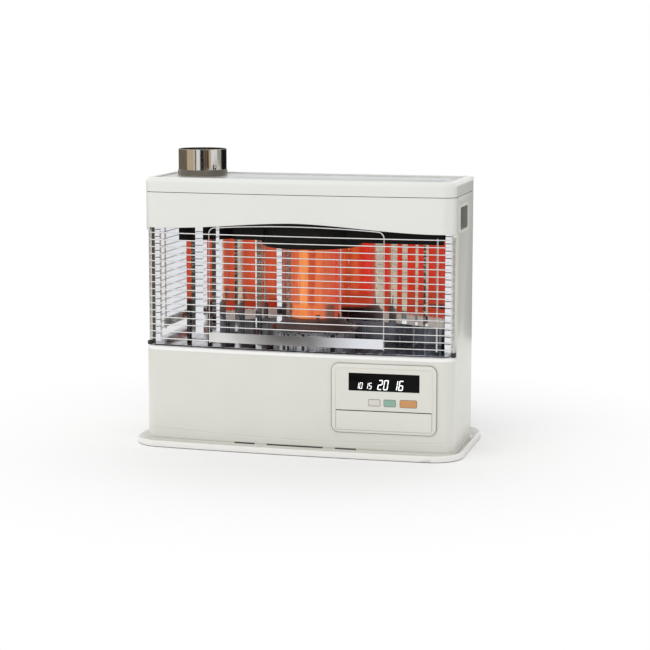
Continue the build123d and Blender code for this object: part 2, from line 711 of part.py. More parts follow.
def control_door():
    """Flip-down door with a rounded hinge edge, stub pins and a stiffening rib inside."""
    y, z = door_axis()
    front, r, half = y - DOOR_T / 2, DOOR_T / 2, DOOR_W / 2
    top = DOOR_Z + DOOR_H / 2
    body = block(-half, half, front, front + DOOR_T, z, top)
    body = chamfer(body.edges().group_by(Axis.Z)[-1].filter_by(Axis.X), 0.7)
    body += bar((-half, y, z), (half, y, z), RegularPolygon(r, 12))
    body += bar((-half - 1.3, y, z), (half + 1.3, y, z), RegularPolygon(0.9, 8))
    body += block(-half + 6, half - 6, front + DOOR_T, front + DOOR_T + 2, top - 5, top - 3.6)
    return bezel_place(body)


# Pieces inside the lower casing and at the back


def main_board():
    """Main circuit board on its bracket, with capacitors, relays and the transformer."""
    body = block(-70, 70, -96, -94.4, 55, 160)
    body += block(-66, 66, -97, -93, Z_BASE + SHEET + 0.1, 55.5)
    for x, z, r in ((-40, 90, 8), (-15, 90, 6), (30, 130, 9)):
        body += bar((x, -94.5, z), (x, -80, z), RegularPolygon(r, 12))
    for x in (10, 40):
        body += block(x - 9, x + 9, -94.5, -78, 75, 95)
    return Pos(BOARD_X, 0, 0) * (body + block(-60, -24, -94.5, -58, 115, 150))


def tilt_switch():
    """Round cut-off switch that feels a knock or an earthquake."""
    z = Z_BASE + SHEET + 0.1
    body = bar((-250, -60, z), (-250, -60, 18), RegularPolygon(20, 12))
    return body + bar((-250, -60, 18), (-250, -60, 44), RegularPolygon(15, 12))


def blower_housing():
    """Scroll housing with an intake eye at the back and an outlet towards the burner."""
    x, z, r = BLOWER_X, BLOWER_Z, BLOWER_R
    scroll = bar((x, 62, z), (x, 105, z), RegularPolygon(r, 16))
    scroll += block(x - r, x - 10, 62, 105, z + 8, z + r - 2)
    room = bar((x, 64, z), (x, 103, z), RegularPolygon(r - 2, 16))
    room += block(x - r - 9, x - 12, 64, 103, z + 10, z + r - 4)
    body = scroll - room - bar((x, 100, z), (x, 110, z), RegularPolygon(40, 16))
    return body - bar((x, 55, z), (x, 66, z), RegularPolygon(8, 8))


def impeller():
    """Backward-leaning fan: back plate, hub and ten blades."""
    x, z = BLOWER_X, BLOWER_Z
    body = bar((x, 67, z), (x, 69, z), RegularPolygon(52, 20))
    body += bar((x, 52, z), (x, 84, z), RegularPolygon(5, 8))
    for i in range(10):
        blade = Rot(0, 0, 36 * i) * Pos(36, 0, 0) * Rot(0, 0, 28) * Box(26, 1.6, 25)
        body += Pos(x, 81.4, z) * Rot(90, 0, 0) * blade
    return body


def blower_motor():
    """Fan motor ahead of the housing, on its stand."""
    x, z = BLOWER_X, BLOWER_Z
    body = bar((x, 22, z), (x, 61.8, z), RegularPolygon(30, 12))
    body -= bar((x, 50, z), (x, 70, z), RegularPolygon(6.2, 8))
    return body + block(x - 20, x + 20, 28, 54, Z_BASE + SHEET + 0.1, z - 25)


def air_duct():
    """Square duct from the scroll's outlet to the pot."""
    x0, x1 = BURNER_X + POT_R + 0.5, BLOWER_X - BLOWER_R - 0.3
    z = BLOWER_Z
    return block(x0, x1, 40, 100, z + 12, z + 58) - block(x0 - 1, x1 + 1, 42, 98, z + 14, z + 56)


def fuel_valve():
    """Constant-level valve: float chamber, lid, strainer cup and stand."""
    x = VALVE_X
    body = block(x - 40, x + 40, -10, 50, 90, 140) + block(x - 43, x + 43, -13, 53, 140, 144)
    body += bar((x, 20, 144), (x, 20, 150), RegularPolygon(12, 12))
    body += bar((FUEL_X, 40, 60), (FUEL_X, 40, 90), RegularPolygon(9, 12))
    body -= bar((x + 20, 30, 120), (x + 20, 30, 150), RegularPolygon(4.6, 8))
    for foot in (x - 35, x + 35):
        body += block(foot - 5, foot + 5, 10, 30, Z_BASE + SHEET + 0.1, 90)
    return body


def reset_button():
    """Sprung reset button of the constant-level valve."""
    x = VALVE_X + 20
    stem = bar((x, 30, 128), (x, 30, 150), RegularPolygon(4, 8))
    return stem + bar((x, 30, 150), (x, 30, 155), RegularPolygon(7, 8))


def fuel_pump():
    """Solenoid pump beside the valve: coil body, head and stand."""
    body = bar((-140, 20, 70), (-140, 20, 118), RegularPolygon(19, 12))
    body += bar((-140, 20, 118), (-140, 20, 128), RegularPolygon(9, 6))
    return body + block(-150, -130, 10, 30, Z_BASE + SHEET + 0.1, 70)


def fuel_inlet():
    """Brass nipple with a tapered end at the back, for the oil supply hose."""
    y = CASE_BACK
    body = bar((FUEL_X, y - 10, FUEL_Z), (FUEL_X, y + 3, FUEL_Z), RegularPolygon(8.5, 6))
    body += rod((FUEL_X, y + 3, FUEL_Z), (FUEL_X, y + 24, FUEL_Z), 4)
    tip = Plane(origin=(FUEL_X, y + 24, FUEL_Z), z_dir=(0, 1, 0)) * RegularPolygon(3.9, 10)
    body += extrude(tip, 5, taper=12)
    return body - bar((FUEL_X, y - 11, FUEL_Z), (FUEL_X, y + 40, FUEL_Z), RegularPolygon(2.6, 4))


def pipe(points):
    """A copper pipe with mitred bends."""
    path = Polyline(*points)
    start = Plane(origin=path @ 0, z_dir=path % 0)
    return sweep(start * RegularPolygon(2.6, 6), path, transition=Transition.RIGHT).solid()


def fuel_pipes():
    """Copper pipes from inlet to valve, valve to pump and pump to burner."""
    supply = pipe([(FUEL_X, 101.9, FUEL_Z), (FUEL_X, 80, FUEL_Z), (FUEL_X, 66, 75), (FUEL_X, 49.6, 75)])
    feed = pipe([(-169.8, 20, 105), (-164, 20, 106), (-160, 20, 122), (-149.4, 20, 123)])
    burner = pipe([(-140, 20, 128.1), (-140, 20, 150), (-130, 20, 160), (BURNER_X - POT_R - 0.2, 20, 160)])
    return Compound([supply, feed, burner])


def room_sensor():
    """Room temperature sensor in a clip on the back panel."""
    y = CASE_BACK + 0.1
    body = block(-316, -300, y, y + 5, 150, 178)
    return body + bar((-308, y + 8, 146), (-308, y + 8, 172), RegularPolygon(4, 8))


def cord_gland():
    """Gland for the mains lead: flange, collar and a hole."""
    x, y, z = GLAND_X, CASE_BACK, GLAND_Z
    body = bar((x, y + 0.1, z), (x, y + 3, z), RegularPolygon(12, 8))
    body += bar((x, y - 5, z), (x, y + 12, z), RegularPolygon(7.6, 10))
    return body - rod((x, y - 8, z), (x, y + 20, z), 3.6)


NODES = {
    "floor_tray": floor_tray,
    "levelling_feet": levelling_feet,
    "base_plate": base_plate,
    "lower_front_panel": lower_front_panel,
    "side_panel_right": side_panel_right,
    "side_panel_left": side_panel_left,
    "handle_cup_right": handle_cup_right,
    "handle_cup_left": handle_cup_left,
    "upper_front_panel": upper_front_panel,
    "top_cover": top_cover,
    "top_plate": top_plate,
    "back_panel": back_panel,
    "rear_cover": rear_cover,
    "panel_screws": panel_screws,
    "reflector_right": reflector_right,
    "reflector_left": reflector_left,
    "reflector_back": reflector_back,
    "chamber_floor": chamber_floor,
    "chamber_ceiling": chamber_ceiling,
    "burner_pot": burner_pot,
    "pot_shield": pot_shield,
    "burner_ring": burner_ring,
    "glow_cylinder": glow_cylinder,
    "glow_cap": glow_cap,
    "glass_cylinder": glass_cylinder,
    "exchanger_drum": exchanger_drum,
    "heat_shields": heat_shields,
    "flue_duct": flue_duct,
    "flue_stub": flue_stub,
    "flue_spring_tab": flue_spring_tab,
    "igniter": igniter,
    "flame_sensor": flame_sensor,
    "guard_wires": guard_wires,
    "guard_frame": guard_frame,
    "guard_band": guard_band,
    "guard_bushings": guard_bushings,
    "control_bezel": control_bezel,
    "display_lens": display_lens,
    "display_board": display_board,
    "setting_board": setting_board,
    "control_door": control_door,
    "main_board": main_board,
    "tilt_switch": tilt_switch,
    "blower_housing": blower_housing,
    "impeller": impeller,
    "blower_motor": blower_motor,
    "air_duct": air_duct,
    "fuel_valve": fuel_valve,
    "reset_button": reset_button,
    "fuel_pump": fuel_pump,
    "fuel_inlet": fuel_inlet,
    "fuel_pipes": fuel_pipes,
    "room_sensor": room_sensor,
    "cord_gland": cord_gland,
}


def main():
    """Builds every piece and writes it to its own file."""
    for name, build in NODES.items():
        export_step(build(), f"parts/{name}.step")
    for name, (x, width, height) in FRONT_KEYS.items():
        export_step(front_key(x, width, height), f"parts/{name}.step")
    for name, x in SETTING_KEYS.items():
        export_step(setting_key(x), f"parts/{name}.step")


if __name__ == "__main__":
    main()
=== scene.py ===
import json
import logging
import math
from collections import defaultdict
from collections.abc import Callable, Sequence
from dataclasses import dataclass
from enum import Enum
from functools import cache

import bmesh
import bpy
from mathutils import Euler, Matrix, Vector


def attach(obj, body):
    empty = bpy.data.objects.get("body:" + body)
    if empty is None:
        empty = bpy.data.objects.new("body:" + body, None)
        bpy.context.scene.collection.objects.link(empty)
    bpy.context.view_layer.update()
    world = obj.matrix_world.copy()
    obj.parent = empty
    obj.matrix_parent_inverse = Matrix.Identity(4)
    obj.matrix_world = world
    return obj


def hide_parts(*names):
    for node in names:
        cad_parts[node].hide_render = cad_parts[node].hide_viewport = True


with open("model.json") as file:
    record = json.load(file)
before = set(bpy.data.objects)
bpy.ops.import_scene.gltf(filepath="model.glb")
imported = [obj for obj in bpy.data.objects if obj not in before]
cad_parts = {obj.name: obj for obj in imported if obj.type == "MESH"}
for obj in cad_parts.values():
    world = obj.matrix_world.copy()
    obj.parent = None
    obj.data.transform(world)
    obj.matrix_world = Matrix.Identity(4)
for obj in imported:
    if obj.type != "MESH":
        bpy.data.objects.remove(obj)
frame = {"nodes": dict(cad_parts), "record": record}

MM = 0.001
ALONG = 0.9
LEVEL_EDGE = 0.5
SHEET_ANGLE = 30
CAP_ANGLE = 35
ROUND_ANGLE = 40
ROLLED_ANGLE = 50
WIRE_ANGLE = 60
FOLD_ANGLE = 12
ROUND = 128
WHITE = (1.0, 1.0, 1.0, 1.0)
log = logging.getLogger("oil_heater")
logging.basicConfig(level=logging.INFO, format="%(name)s: %(message)s")
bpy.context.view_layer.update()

Point = tuple[float, float, float]
Plan = tuple[float, float]
Colour = tuple[float, float, float]
Socket = bpy.types.NodeSocket
Test = Callable[[Vector, Vector], bool]


class Body(Enum):
    """The rigid bodies that pieces ride on."""

    HEATER = "heater"
    GUARD = "guard"
    DOOR = "door"
    KEY_WHITE = "key_white"
    KEY_GREEN = "key_green"
    KEY_ORANGE = "key_orange"


class Pick(Enum):
    """What a selection in edit mode is made of."""

    VERTS = (True, False, False)
    EDGES = (False, True, False)
    FACES = (False, False, True)


class Bench:
    """One mesh on the modelling bench, shaped in edit mode. All sizes are in millimetres."""

    def __init__(
        self, name: str, maker: Callable, at: Point, scale: Point = (1, 1, 1), turn: Point = (0, 0, 0),
        **options,
    ) -> None:
        """Adds a primitive at its size and place and opens it in edit mode.

        Args:
            name: the piece's name.
            maker: the operator that adds the primitive.
            at: the primitive's centre.
            scale: its size along each axis.
            turn: its rotation in degrees.
            options: further options of the operator.
        """
        if bpy.context.mode == "EDIT_MESH":
            bpy.ops.object.mode_set(mode="OBJECT")
        bpy.ops.object.select_all(action="DESELECT")
        maker(location=[v * MM for v in at], rotation=[math.radians(v) for v in turn], **options)
        self.obj = bpy.context.active_object
        self.obj.name = self.obj.data.name = name
        self.obj.scale = [v * MM for v in scale]
        bpy.ops.object.transform_apply(location=True, rotation=True, scale=True)
        bpy.ops.object.mode_set(mode="EDIT")

    @classmethod
    def sheet(cls, name: str, x: Plan, y: Plan, z: float) -> "Bench":
        """A flat rectangle at one height."""
        centre = ((x[0] + x[1]) / 2, (y[0] + y[1]) / 2, z)
        return cls(name, bpy.ops.mesh.primitive_plane_add, centre, (x[1] - x[0], y[1] - y[0], 1), size=1)

    @classmethod
    def crate(cls, name: str, x: Plan, y: Plan, z: Plan) -> "Bench":
        """A rectangular block between two corners."""
        centre = ((x[0] + x[1]) / 2, (y[0] + y[1]) / 2, (z[0] + z[1]) / 2)
        size = (x[1] - x[0], y[1] - y[0], z[1] - z[0])
        return cls(name, bpy.ops.mesh.primitive_cube_add, centre, size, size=1)

    @classmethod
    def card(cls, name: str, x: float, z: float, width: float, height: float, y: float) -> "Bench":
        """A flat rectangle that faces the front."""
        return cls(name, bpy.ops.mesh.primitive_plane_add, (x, y, z), (width, height, 1), (90, 0, 0), size=1)

    @classmethod
    def line(cls, name: str, points: Sequence[Point]) -> "Bench":
        """A chain of edges through some points.

        Args:
            name: the piece's name.
            points: the chain's corners in order.

        Returns:
            The bench with the chain in edit mode.
        """
        made = cls(name, bpy.ops.mesh.primitive_plane_add, points[0], (1, 1, 1), size=1)
        bpy.context.tool_settings.mesh_select_mode = Pick.VERTS.value
        bpy.ops.mesh.select_all(action="SELECT")
        bpy.ops.mesh.merge(type="CENTER")
        for a, b in zip(points, points[1:]):
            made.extrude(*(q - p for p, q in zip(a, b)))
        return made

    @classmethod
    def lathe(cls, name: str, profile: Sequence[Plan], centre: Plan, steps: int = 96) -> "Bench":
        """A round piece spun from a closed profile of radius and height.

        Args:
            name: the piece's name.
            profile: radius and height of each corner.
            centre: where the axis stands.
            steps: how many faces go round.

        Returns:
            The bench with the closed piece in edit mode.
        """
        ring = [*profile, profile[0]]
        made = cls.line(name, [(centre[0] + r, centre[1], z) for r, z in ring])
        bpy.ops.mesh.select_all(action="SELECT")
        bpy.ops.mesh.spin(
            steps=steps, angle=math.tau, center=(centre[0] * MM, centre[1] * MM, 0), axis=(0, 0, 1),
        )
        made.weld()
        return made

    @classmethod
    def rod(cls, name: str, points: Sequence[Point], radius: float, fineness: int = 2) -> "Bench":
        """A round bar along a chain of points.

        Args:
            name: the piece's name.
            points: the bar's centre line.
            radius: the bar's radius.
            fineness: how finely the bar is rounded.

        Returns:
            The bench with the bar as a closed mesh in edit mode.
        """
        made = cls.line(name, points)
        bpy.ops.object.mode_set(mode="OBJECT")
        bpy.ops.object.convert(target="CURVE")
        curve = bpy.context.active_object.data
        curve.bevel_depth = radius * MM
        curve.bevel_resolution = fineness
        curve.use_fill_caps = True
        bpy.ops.object.convert(target="MESH")
        made.obj = bpy.context.active_object
        made.obj.name = made.obj.data.name = name
        bpy.ops.object.mode_set(mode="EDIT")
        made.weld()
        return made

    def pick(self, kind: Pick, test: Test) -> "Bench":
        """Selects what passes a test of its middle, in millimetres, and its normal or direction.

        Args:
            kind: vertices, edges or faces.
            test: the test.

        Returns:
            The bench.
        """
        bpy.context.tool_settings.mesh_select_mode = kind.value
        bpy.ops.mesh.select_all(action="DESELECT")
        mesh = bmesh.from_edit_mesh(self.obj.data)
        if kind is Pick.VERTS:
            items = [(v, v.co, v.normal) for v in mesh.verts]
        elif kind is Pick.EDGES:
            ends = [(e, e.verts[0].co, e.verts[1].co) for e in mesh.edges]
            items = [(e, (a + b) / 2, (b - a).normalized()) for e, a, b in ends]
        else:
            items = [(f, f.calc_center_median(), f.normal) for f in mesh.faces]
        for item, middle, normal in items:
            if test(middle / MM, normal):
                item.select_set(True)
        mesh.select_flush_mode()
        bmesh.update_edit_mesh(self.obj.data)
        return self

    def faces(self, test: Test = lambda p, n: True) -> "Bench":
        """Selects the faces that pass a test, or all of them."""
        return self.pick(Pick.FACES, test)

    def edges(self, test: Test) -> "Bench":
        """Selects the edges that pass a test."""
        return self.pick(Pick.EDGES, test)

    def all(self) -> "Bench":
        """Selects the whole mesh."""
        bpy.ops.mesh.select_all(action="SELECT")
        return self

    def extrude(self, x: float, y: float, z: float) -> "Bench":
        """Extrudes the selection by a distance."""
        bpy.ops.mesh.extrude_region_move(TRANSFORM_OT_translate={"value": (x * MM, y * MM, z * MM)})
        return self

    def move(self, x: float, y: float, z: float) -> "Bench":
        """Moves the selection."""
        bpy.ops.transform.translate(value=(x * MM, y * MM, z * MM))
        return self

    def resize(self, x: float, y: float, z: float, centre: Point) -> "Bench":
        """Scales the selection about a point."""
        bpy.ops.transform.resize(value=(x, y, z), center_override=[v * MM for v in centre])
        return self

    def bevel(self, width: float, segments: int = 3, corners: bool = False) -> "Bench":
        """Rounds the selected edges, or corners of a flat outline."""
        bpy.ops.mesh.bevel(
            offset=width * MM, segments=segments, affect="VERTICES" if corners else "EDGES",
            clamp_overlap=False,
        )
        return self

    def inset(self, width: float, depth: float = 0.0) -> "Bench":
        """Insets the selected faces."""
        bpy.ops.mesh.inset(thickness=width * MM, depth=depth * MM, use_even_offset=True)
        return self

    def subdivide(self, cuts: int) -> "Bench":
        """Divides the selected edges."""
        bpy.ops.mesh.subdivide(number_cuts=cuts)
        return self

    def delete(self, kind: str = "FACE") -> "Bench":
        """Deletes the selection."""
        bpy.ops.mesh.delete(type=kind)
        return self

    def slice(self, at: Point, normal: Point, fill: bool = False) -> "Bench":
        """Cuts away what lies on the side the normal points to."""
        bpy.ops.mesh.select_all(action="SELECT")
        bpy.ops.mesh.bisect(plane_co=[v * MM for v in at], plane_no=normal, clear_outer=True, use_fill=fill)
        return self

    def weld(self, reach: float = 0.01) -> "Bench":
        """Merges doubles and points all faces outwards."""
        bpy.ops.mesh.select_all(action="SELECT")
        bpy.ops.mesh.remove_doubles(threshold=reach * MM)
        bpy.ops.mesh.normals_make_consistent(inside=False)
        return self

    def slide(
        self, axis: int, amount: Callable[[Vector], float], test: Callable[[Vector], bool] = lambda p: True,
    ) -> "Bench":
        """Moves vertices along one axis by an amount that depends on where they are.

        Args:
            axis: 0, 1 or 2 for X, Y or Z.
            amount: the distance for a place, in millimetres.
            test: which places take part.

        Returns:
            The bench.
        """
        mesh = bmesh.from_edit_mesh(self.obj.data)
        groups: dict[float, list[int]] = defaultdict(list)
        for v in mesh.verts:
            place = v.co / MM
            if test(place):
                groups[round(amount(place), 2)].append(v.index)
        bpy.context.tool_settings.mesh_select_mode = Pick.VERTS.value
        for distance, members in groups.items():
            if not distance:
                continue
            bpy.ops.mesh.select_all(action="DESELECT")
            mesh = bmesh.from_edit_mesh(self.obj.data)
            mesh.verts.ensure_lookup_table()
            for index in members:
                mesh.verts[index].select_set(True)
            mesh.select_flush_mode()
            step = [0.0, 0.0, 0.0]
            step[axis] = distance
            self.move(*step)
        return self

    def close(self) -> "Bench":
        """Leaves edit mode with only this piece selected.

        Returns:
            The bench in object mode.
        """
        if bpy.context.mode == "EDIT_MESH":
            bpy.ops.object.mode_set(mode="OBJECT")
        bpy.ops.object.select_all(action="DESELECT")
        self.obj.select_set(True)
        bpy.context.view_layer.objects.active = self.obj
        return self

    def modify(self, kind: str, **settings) -> "Bench":
        """Adds a modifier and applies it.

        Args:
            kind: the modifier's type.
            settings: its settings.

        Returns:
            The bench in object mode.
        """
        self.close()
        modifier = self.obj.modifiers.new("step", kind)
        for key, value in settings.items():
            setattr(modifier, key, value)
        bpy.ops.object.modifier_apply(modifier=modifier.name)
        return self

    def thicken(self, thickness: float) -> "Bench":
        """Gives a sheet its thickness, on the side away from its normals."""
        return self.modify("SOLIDIFY", thickness=thickness * MM, offset=-1.0, use_even_offset=True)

    def soften(self, width: float, segments: int = 2, angle: float = 40.0) -> "Bench":
        """Rounds every sharp edge."""
        limit = {"limit_method": "ANGLE", "angle_limit": math.radians(angle)}
        return self.modify("BEVEL", width=width * MM, segments=segments, **limit)

    def carve(self, *tools: "Bench") -> "Bench":
        """Cuts other pieces out of this one and removes them.

        Args:
            tools: the pieces to cut with.

        Returns:
            The bench in object mode.
        """
        for tool in tools:
            tool.close()
            self.modify("BOOLEAN", operation="DIFFERENCE", solver="EXACT", object=tool.obj)
            bpy.data.objects.remove(tool.obj)
        return self

    def join(self, *others: "Bench") -> "Bench":
        """Makes other pieces part of this one's mesh.

        Args:
            others: the pieces that join this one.

        Returns:
            The bench in object mode.
        """
        for other in others:
            other.close()
        self.close()
        for other in others:
            other.obj.select_set(True)
        bpy.ops.object.join()
        return self

    def twin(self, move: Point) -> "Bench":
        """Copies the piece, with its own mesh, to another place.

        Args:
            move: how far the copy lies from the piece.

        Returns:
            The copy.
        """
        self.close()
        bpy.ops.object.duplicate()
        made = Bench.__new__(Bench)
        made.obj = bpy.context.active_object
        bpy.ops.transform.translate(value=[v * MM for v in move])
        bpy.ops.object.transform_apply(location=True, rotation=True, scale=True)
        return made

    def mirror(self) -> "Bench":
        """Copies the piece to the other side of the middle plane.

        Returns:
            The copy.
        """
        self.close()
        bpy.ops.object.duplicate()
        made = Bench.__new__(Bench)
        made.obj = bpy.context.active_object
        made.obj.scale.x = -1
        bpy.ops.object.transform_apply(location=True, rotation=True, scale=True)
        bpy.ops.object.mode_set(mode="EDIT")
        bpy.ops.mesh.select_all(action="SELECT")
        bpy.ops.mesh.flip_normals()
        return made.close()

    def place(self, matrix: Matrix) -> "Bench":
        """Moves the piece by a matrix given in millimetres, and applies it."""
        self.close()
        self.obj.matrix_world = Matrix.Scale(MM, 4) @ matrix @ Matrix.Scale(1 / MM, 4)
        bpy.ops.object.transform_apply(location=True, rotation=True, scale=True)
        return self

    def smooth(self, angle: float = 35.0) -> "Bench":
        """Shades the piece smooth but keeps its sharp edges."""
        self.close()
        bpy.ops.object.shade_smooth_by_angle(angle=math.radians(angle))
        return self

    def dress(
        self, name: str, finish: "Finish", slot: str, body: Body, stands_for: Sequence[str] = (),
    ) -> bpy.types.Object:
        """Finishes the piece: its name, material, body and the nodes it stands for.

        Args:
            name: the finished piece's name.
            finish: what its surface is made of.
            slot: the material slot; not used.
            body: the body it rides on.
            stands_for: the construction nodes it replaces.

        Returns:
            The finished object.
        """
        self.close()
        self.obj.name = self.obj.data.name = name
        self.obj.data.materials.clear()
        self.obj.data.materials.append(finish.material())
        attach(self.obj, body.value)
        if stands_for:
            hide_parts(*stands_for)
        log.info("%s: %d faces on %s", name, len(self.obj.data.polygons), body.value)
        return self.obj

    def pair(self, angle: float, name: str, finish: "Finish", slot: str, node: str = "") -> None:
        """Finishes the piece on the right and its mirror image on the left.

        Args:
            angle: the angle up to which the piece is shaded smooth.
            name: the pieces' name, with a gap for the side.
            finish: what their surface is made of.
            slot: the material slot.
            node: the construction nodes' common start, where they replace any.
        """
        other = self.mirror()
        for made, side in ((self, "right"), (other, "left")):
            stands_for = [f"{node}_{side}"] if node else []
            made.smooth(angle).dress(name.format(side), finish, slot, Body.HEATER, stands_for)


class Tree:
    """A node tree and the few steps used to fill it."""

    def __init__(self, tree: bpy.types.NodeTree) -> None:
        """Clears the tree."""
        self.tree = tree
        tree.nodes.clear()

    def add(self, kind: str, values: dict | None = None, **settings) -> bpy.types.Node:
        """Adds a node.

        Args:
            kind: the node's type.
            values: input values by name or number; a socket as a value is linked.
            settings: the node's own settings.

        Returns:
            The node.
        """
        node = self.tree.nodes.new(kind)
        for key, value in settings.items():
            setattr(node, key, value)
        self.fill(node, values or {})
        return node

    def fill(self, node: bpy.types.Node, values: dict) -> None:
        """Sets or links a node's inputs.

        Args:
            node: the node.
            values: input values by name or number; a socket as a value is linked.
        """
        for key, value in values.items():
            if isinstance(value, Socket):
                self.tree.links.new(value, node.inputs[key])
            else:
                node.inputs[key].default_value = value

    def math(self, operation: str, a: Socket | float, b: Socket | float = 0.0, clamp: bool = False) -> Socket:
        """A sum, product or other operation on two values."""
        return self.add("ShaderNodeMath", {0: a, 1: b}, operation=operation, use_clamp=clamp).outputs[0]

    def blend(self, factor: Socket | float, a: Socket | tuple, b: Socket | tuple) -> Socket:
        """A mix of two colours."""
        return self.add("ShaderNodeMix", {0: factor, 6: a, 7: b}, data_type="RGBA").outputs[2]

    def noise(self, place: Socket, scale: Socket | float, detail: float, **extra) -> Socket:
        """A noise value at each place."""
        values = {"Vector": place, "Scale": scale, "Detail": detail, **extra}
        return self.add("ShaderNodeTexNoise", values).outputs["Fac"]

    def remap(
        self, value: Socket, low: float, high: float, to_low: float = 0.0, to_high: float = 1.0,
    ) -> Socket:
        """A value carried from one range to another."""
        values = {"Value": value, "From Min": low, "From Max": high, "To Min": to_low, "To Max": to_high}
        return self.add("ShaderNodeMapRange", values).outputs[0]

    def turn(self, across: Socket, depth: Socket) -> Socket:
        """A direction in plan as a share of a full turn, with the front at a half."""
        angle = self.math("ARCTAN2", across, self.math("MULTIPLY", depth, -1.0))
        return self.remap(angle, -math.pi, math.pi)

    def wheel(self, turn: Socket, stops: tuple) -> Socket:
        """Colours that change with a direction.

        Args:
            turn: the direction as a share of a full turn.
            stops: each colour's direction in degrees from the front, and the colour.

        Returns:
            The colour in each direction.
        """
        node = self.add("ShaderNodeValToRGB", {"Fac": turn})
        elements = node.color_ramp.elements
        while len(elements) > 1:
            elements.remove(elements[-1])
        elements[0].position, elements[0].color = 0.0, rgba(stops[0][1])
        for degrees, colour in stops:
            elements.new(degrees / 360.0 + 0.5).color = rgba(colour)
        return node.outputs["Color"]


def rgba(colour: Colour) -> tuple[float, float, float, float]:
    """A colour with full opacity."""
    return (*colour, 1.0)


class Effects:
    """Shader node groups that more than one finish uses, each built once."""

    @staticmethod
    def group(name: str, inputs: dict, outputs: dict) -> tuple[Tree, dict, bpy.types.Node]:
        """Starts a node group with named inputs and outputs.

        Args:
            name: the group's name.
            inputs: each input's kind and default value.
            outputs: each output's kind.

        Returns:
            The tree with its inputs and its output node.
        """
        data = bpy.data.node_groups.new(name, "ShaderNodeTree")
        for key, (kind, value) in inputs.items():
            socket = data.interface.new_socket(key, in_out="INPUT", socket_type=kind)
            if value is not None:
                socket.default_value = value
        for key, kind in outputs.items():
            data.interface.new_socket(key, in_out="OUTPUT", socket_type=kind)
        tree = Tree(data)
        return tree, tree.add("NodeGroupInput").outputs, tree.add("NodeGroupOutput")

    @staticmethod
    @cache
    def grain() -> bpy.types.NodeTree:
        """Fine mottling of a coated or moulded surface.

        Returns:
            The group: a mix of two colours, a height and the mask of its patches.
        """
        inputs = {
            "Vector": ("NodeSocketVector", None),
            "Scale": ("NodeSocketFloat", 600.0),
            "Color": ("NodeSocketColor", (0.8, 0.8, 0.8, 1)),
            "Shade": ("NodeSocketColor", (0.7, 0.7, 0.7, 1)),
        }
        outputs = {"Color": "NodeSocketColor", "Height": "NodeSocketFloat", "Patch": "NodeSocketFloat"}
        tree, start, end = Effects.group("surface_grain", inputs, outputs)
        fine = tree.noise(start["Vector"], start["Scale"], 2.0)
        patch = tree.remap(tree.noise(start["Vector"], 7.0, 3.0), 0.35, 0.65)
        mixed = tree.blend(patch, start["Color"], start["Shade"])
        tree.fill(end, {"Color": mixed, "Height": fine, "Patch": patch})
        return tree.tree

    @staticmethod
    @cache
    def streaking() -> bpy.types.NodeTree:
        """Drawn-out streaks: the grain of rolled or brushed metal, and on some finishes painted reflection
        streaks.

        Returns:
            The group, with the streaks as a mask.
        """
        inputs = {"Vector": ("NodeSocketVector", None), "Stretch": ("NodeSocketVector", (40.0, 40.0, 1500.0))}
        tree, start, end = Effects.group("brushed_and_painted_streaks", inputs, {"Streak": "NodeSocketFloat"})
        mapped = tree.add(
            "ShaderNodeVectorMath", {0: start["Vector"], 1: start["Stretch"]}, operation="MULTIPLY",
        )
        noise = tree.noise(mapped.outputs[0], 1.0, 3.0, Roughness=0.6)
        tree.fill(end, {"Streak": tree.remap(noise, 0.3, 0.7)})
        return tree.tree

    @staticmethod
    @cache
    def dust() -> bpy.types.NodeTree:
        """A faint film of dust on faces that look upwards.

        Returns:
            The group, with the dusted colour and the dust's mask.
        """
        inputs = {
            "Vector": ("NodeSocketVector", None),
            "Color": ("NodeSocketColor", (0.8, 0.8, 0.8, 1)),
            "Dust": ("NodeSocketColor", (0.6, 0.58, 0.54, 1)),
            "Amount": ("NodeSocketFloat", 0.1),
        }
        outputs = {"Color": "NodeSocketColor", "Mask": "NodeSocketFloat"}
        tree, start, end = Effects.group("settled_dust", inputs, outputs)
        normal = tree.add("ShaderNodeNewGeometry").outputs["Normal"]
        up = tree.add("ShaderNodeSeparateXYZ", {0: normal}).outputs["Z"]
        settled = tree.math("MULTIPLY", tree.math("MAXIMUM", up, 0.0), tree.noise(start["Vector"], 22.0, 5.0))
        mask = tree.math("MULTIPLY", settled, start["Amount"], clamp=True)
        tree.fill(end, {"Color": tree.blend(mask, start["Color"], start["Dust"]), "Mask": mask})
        return tree.tree


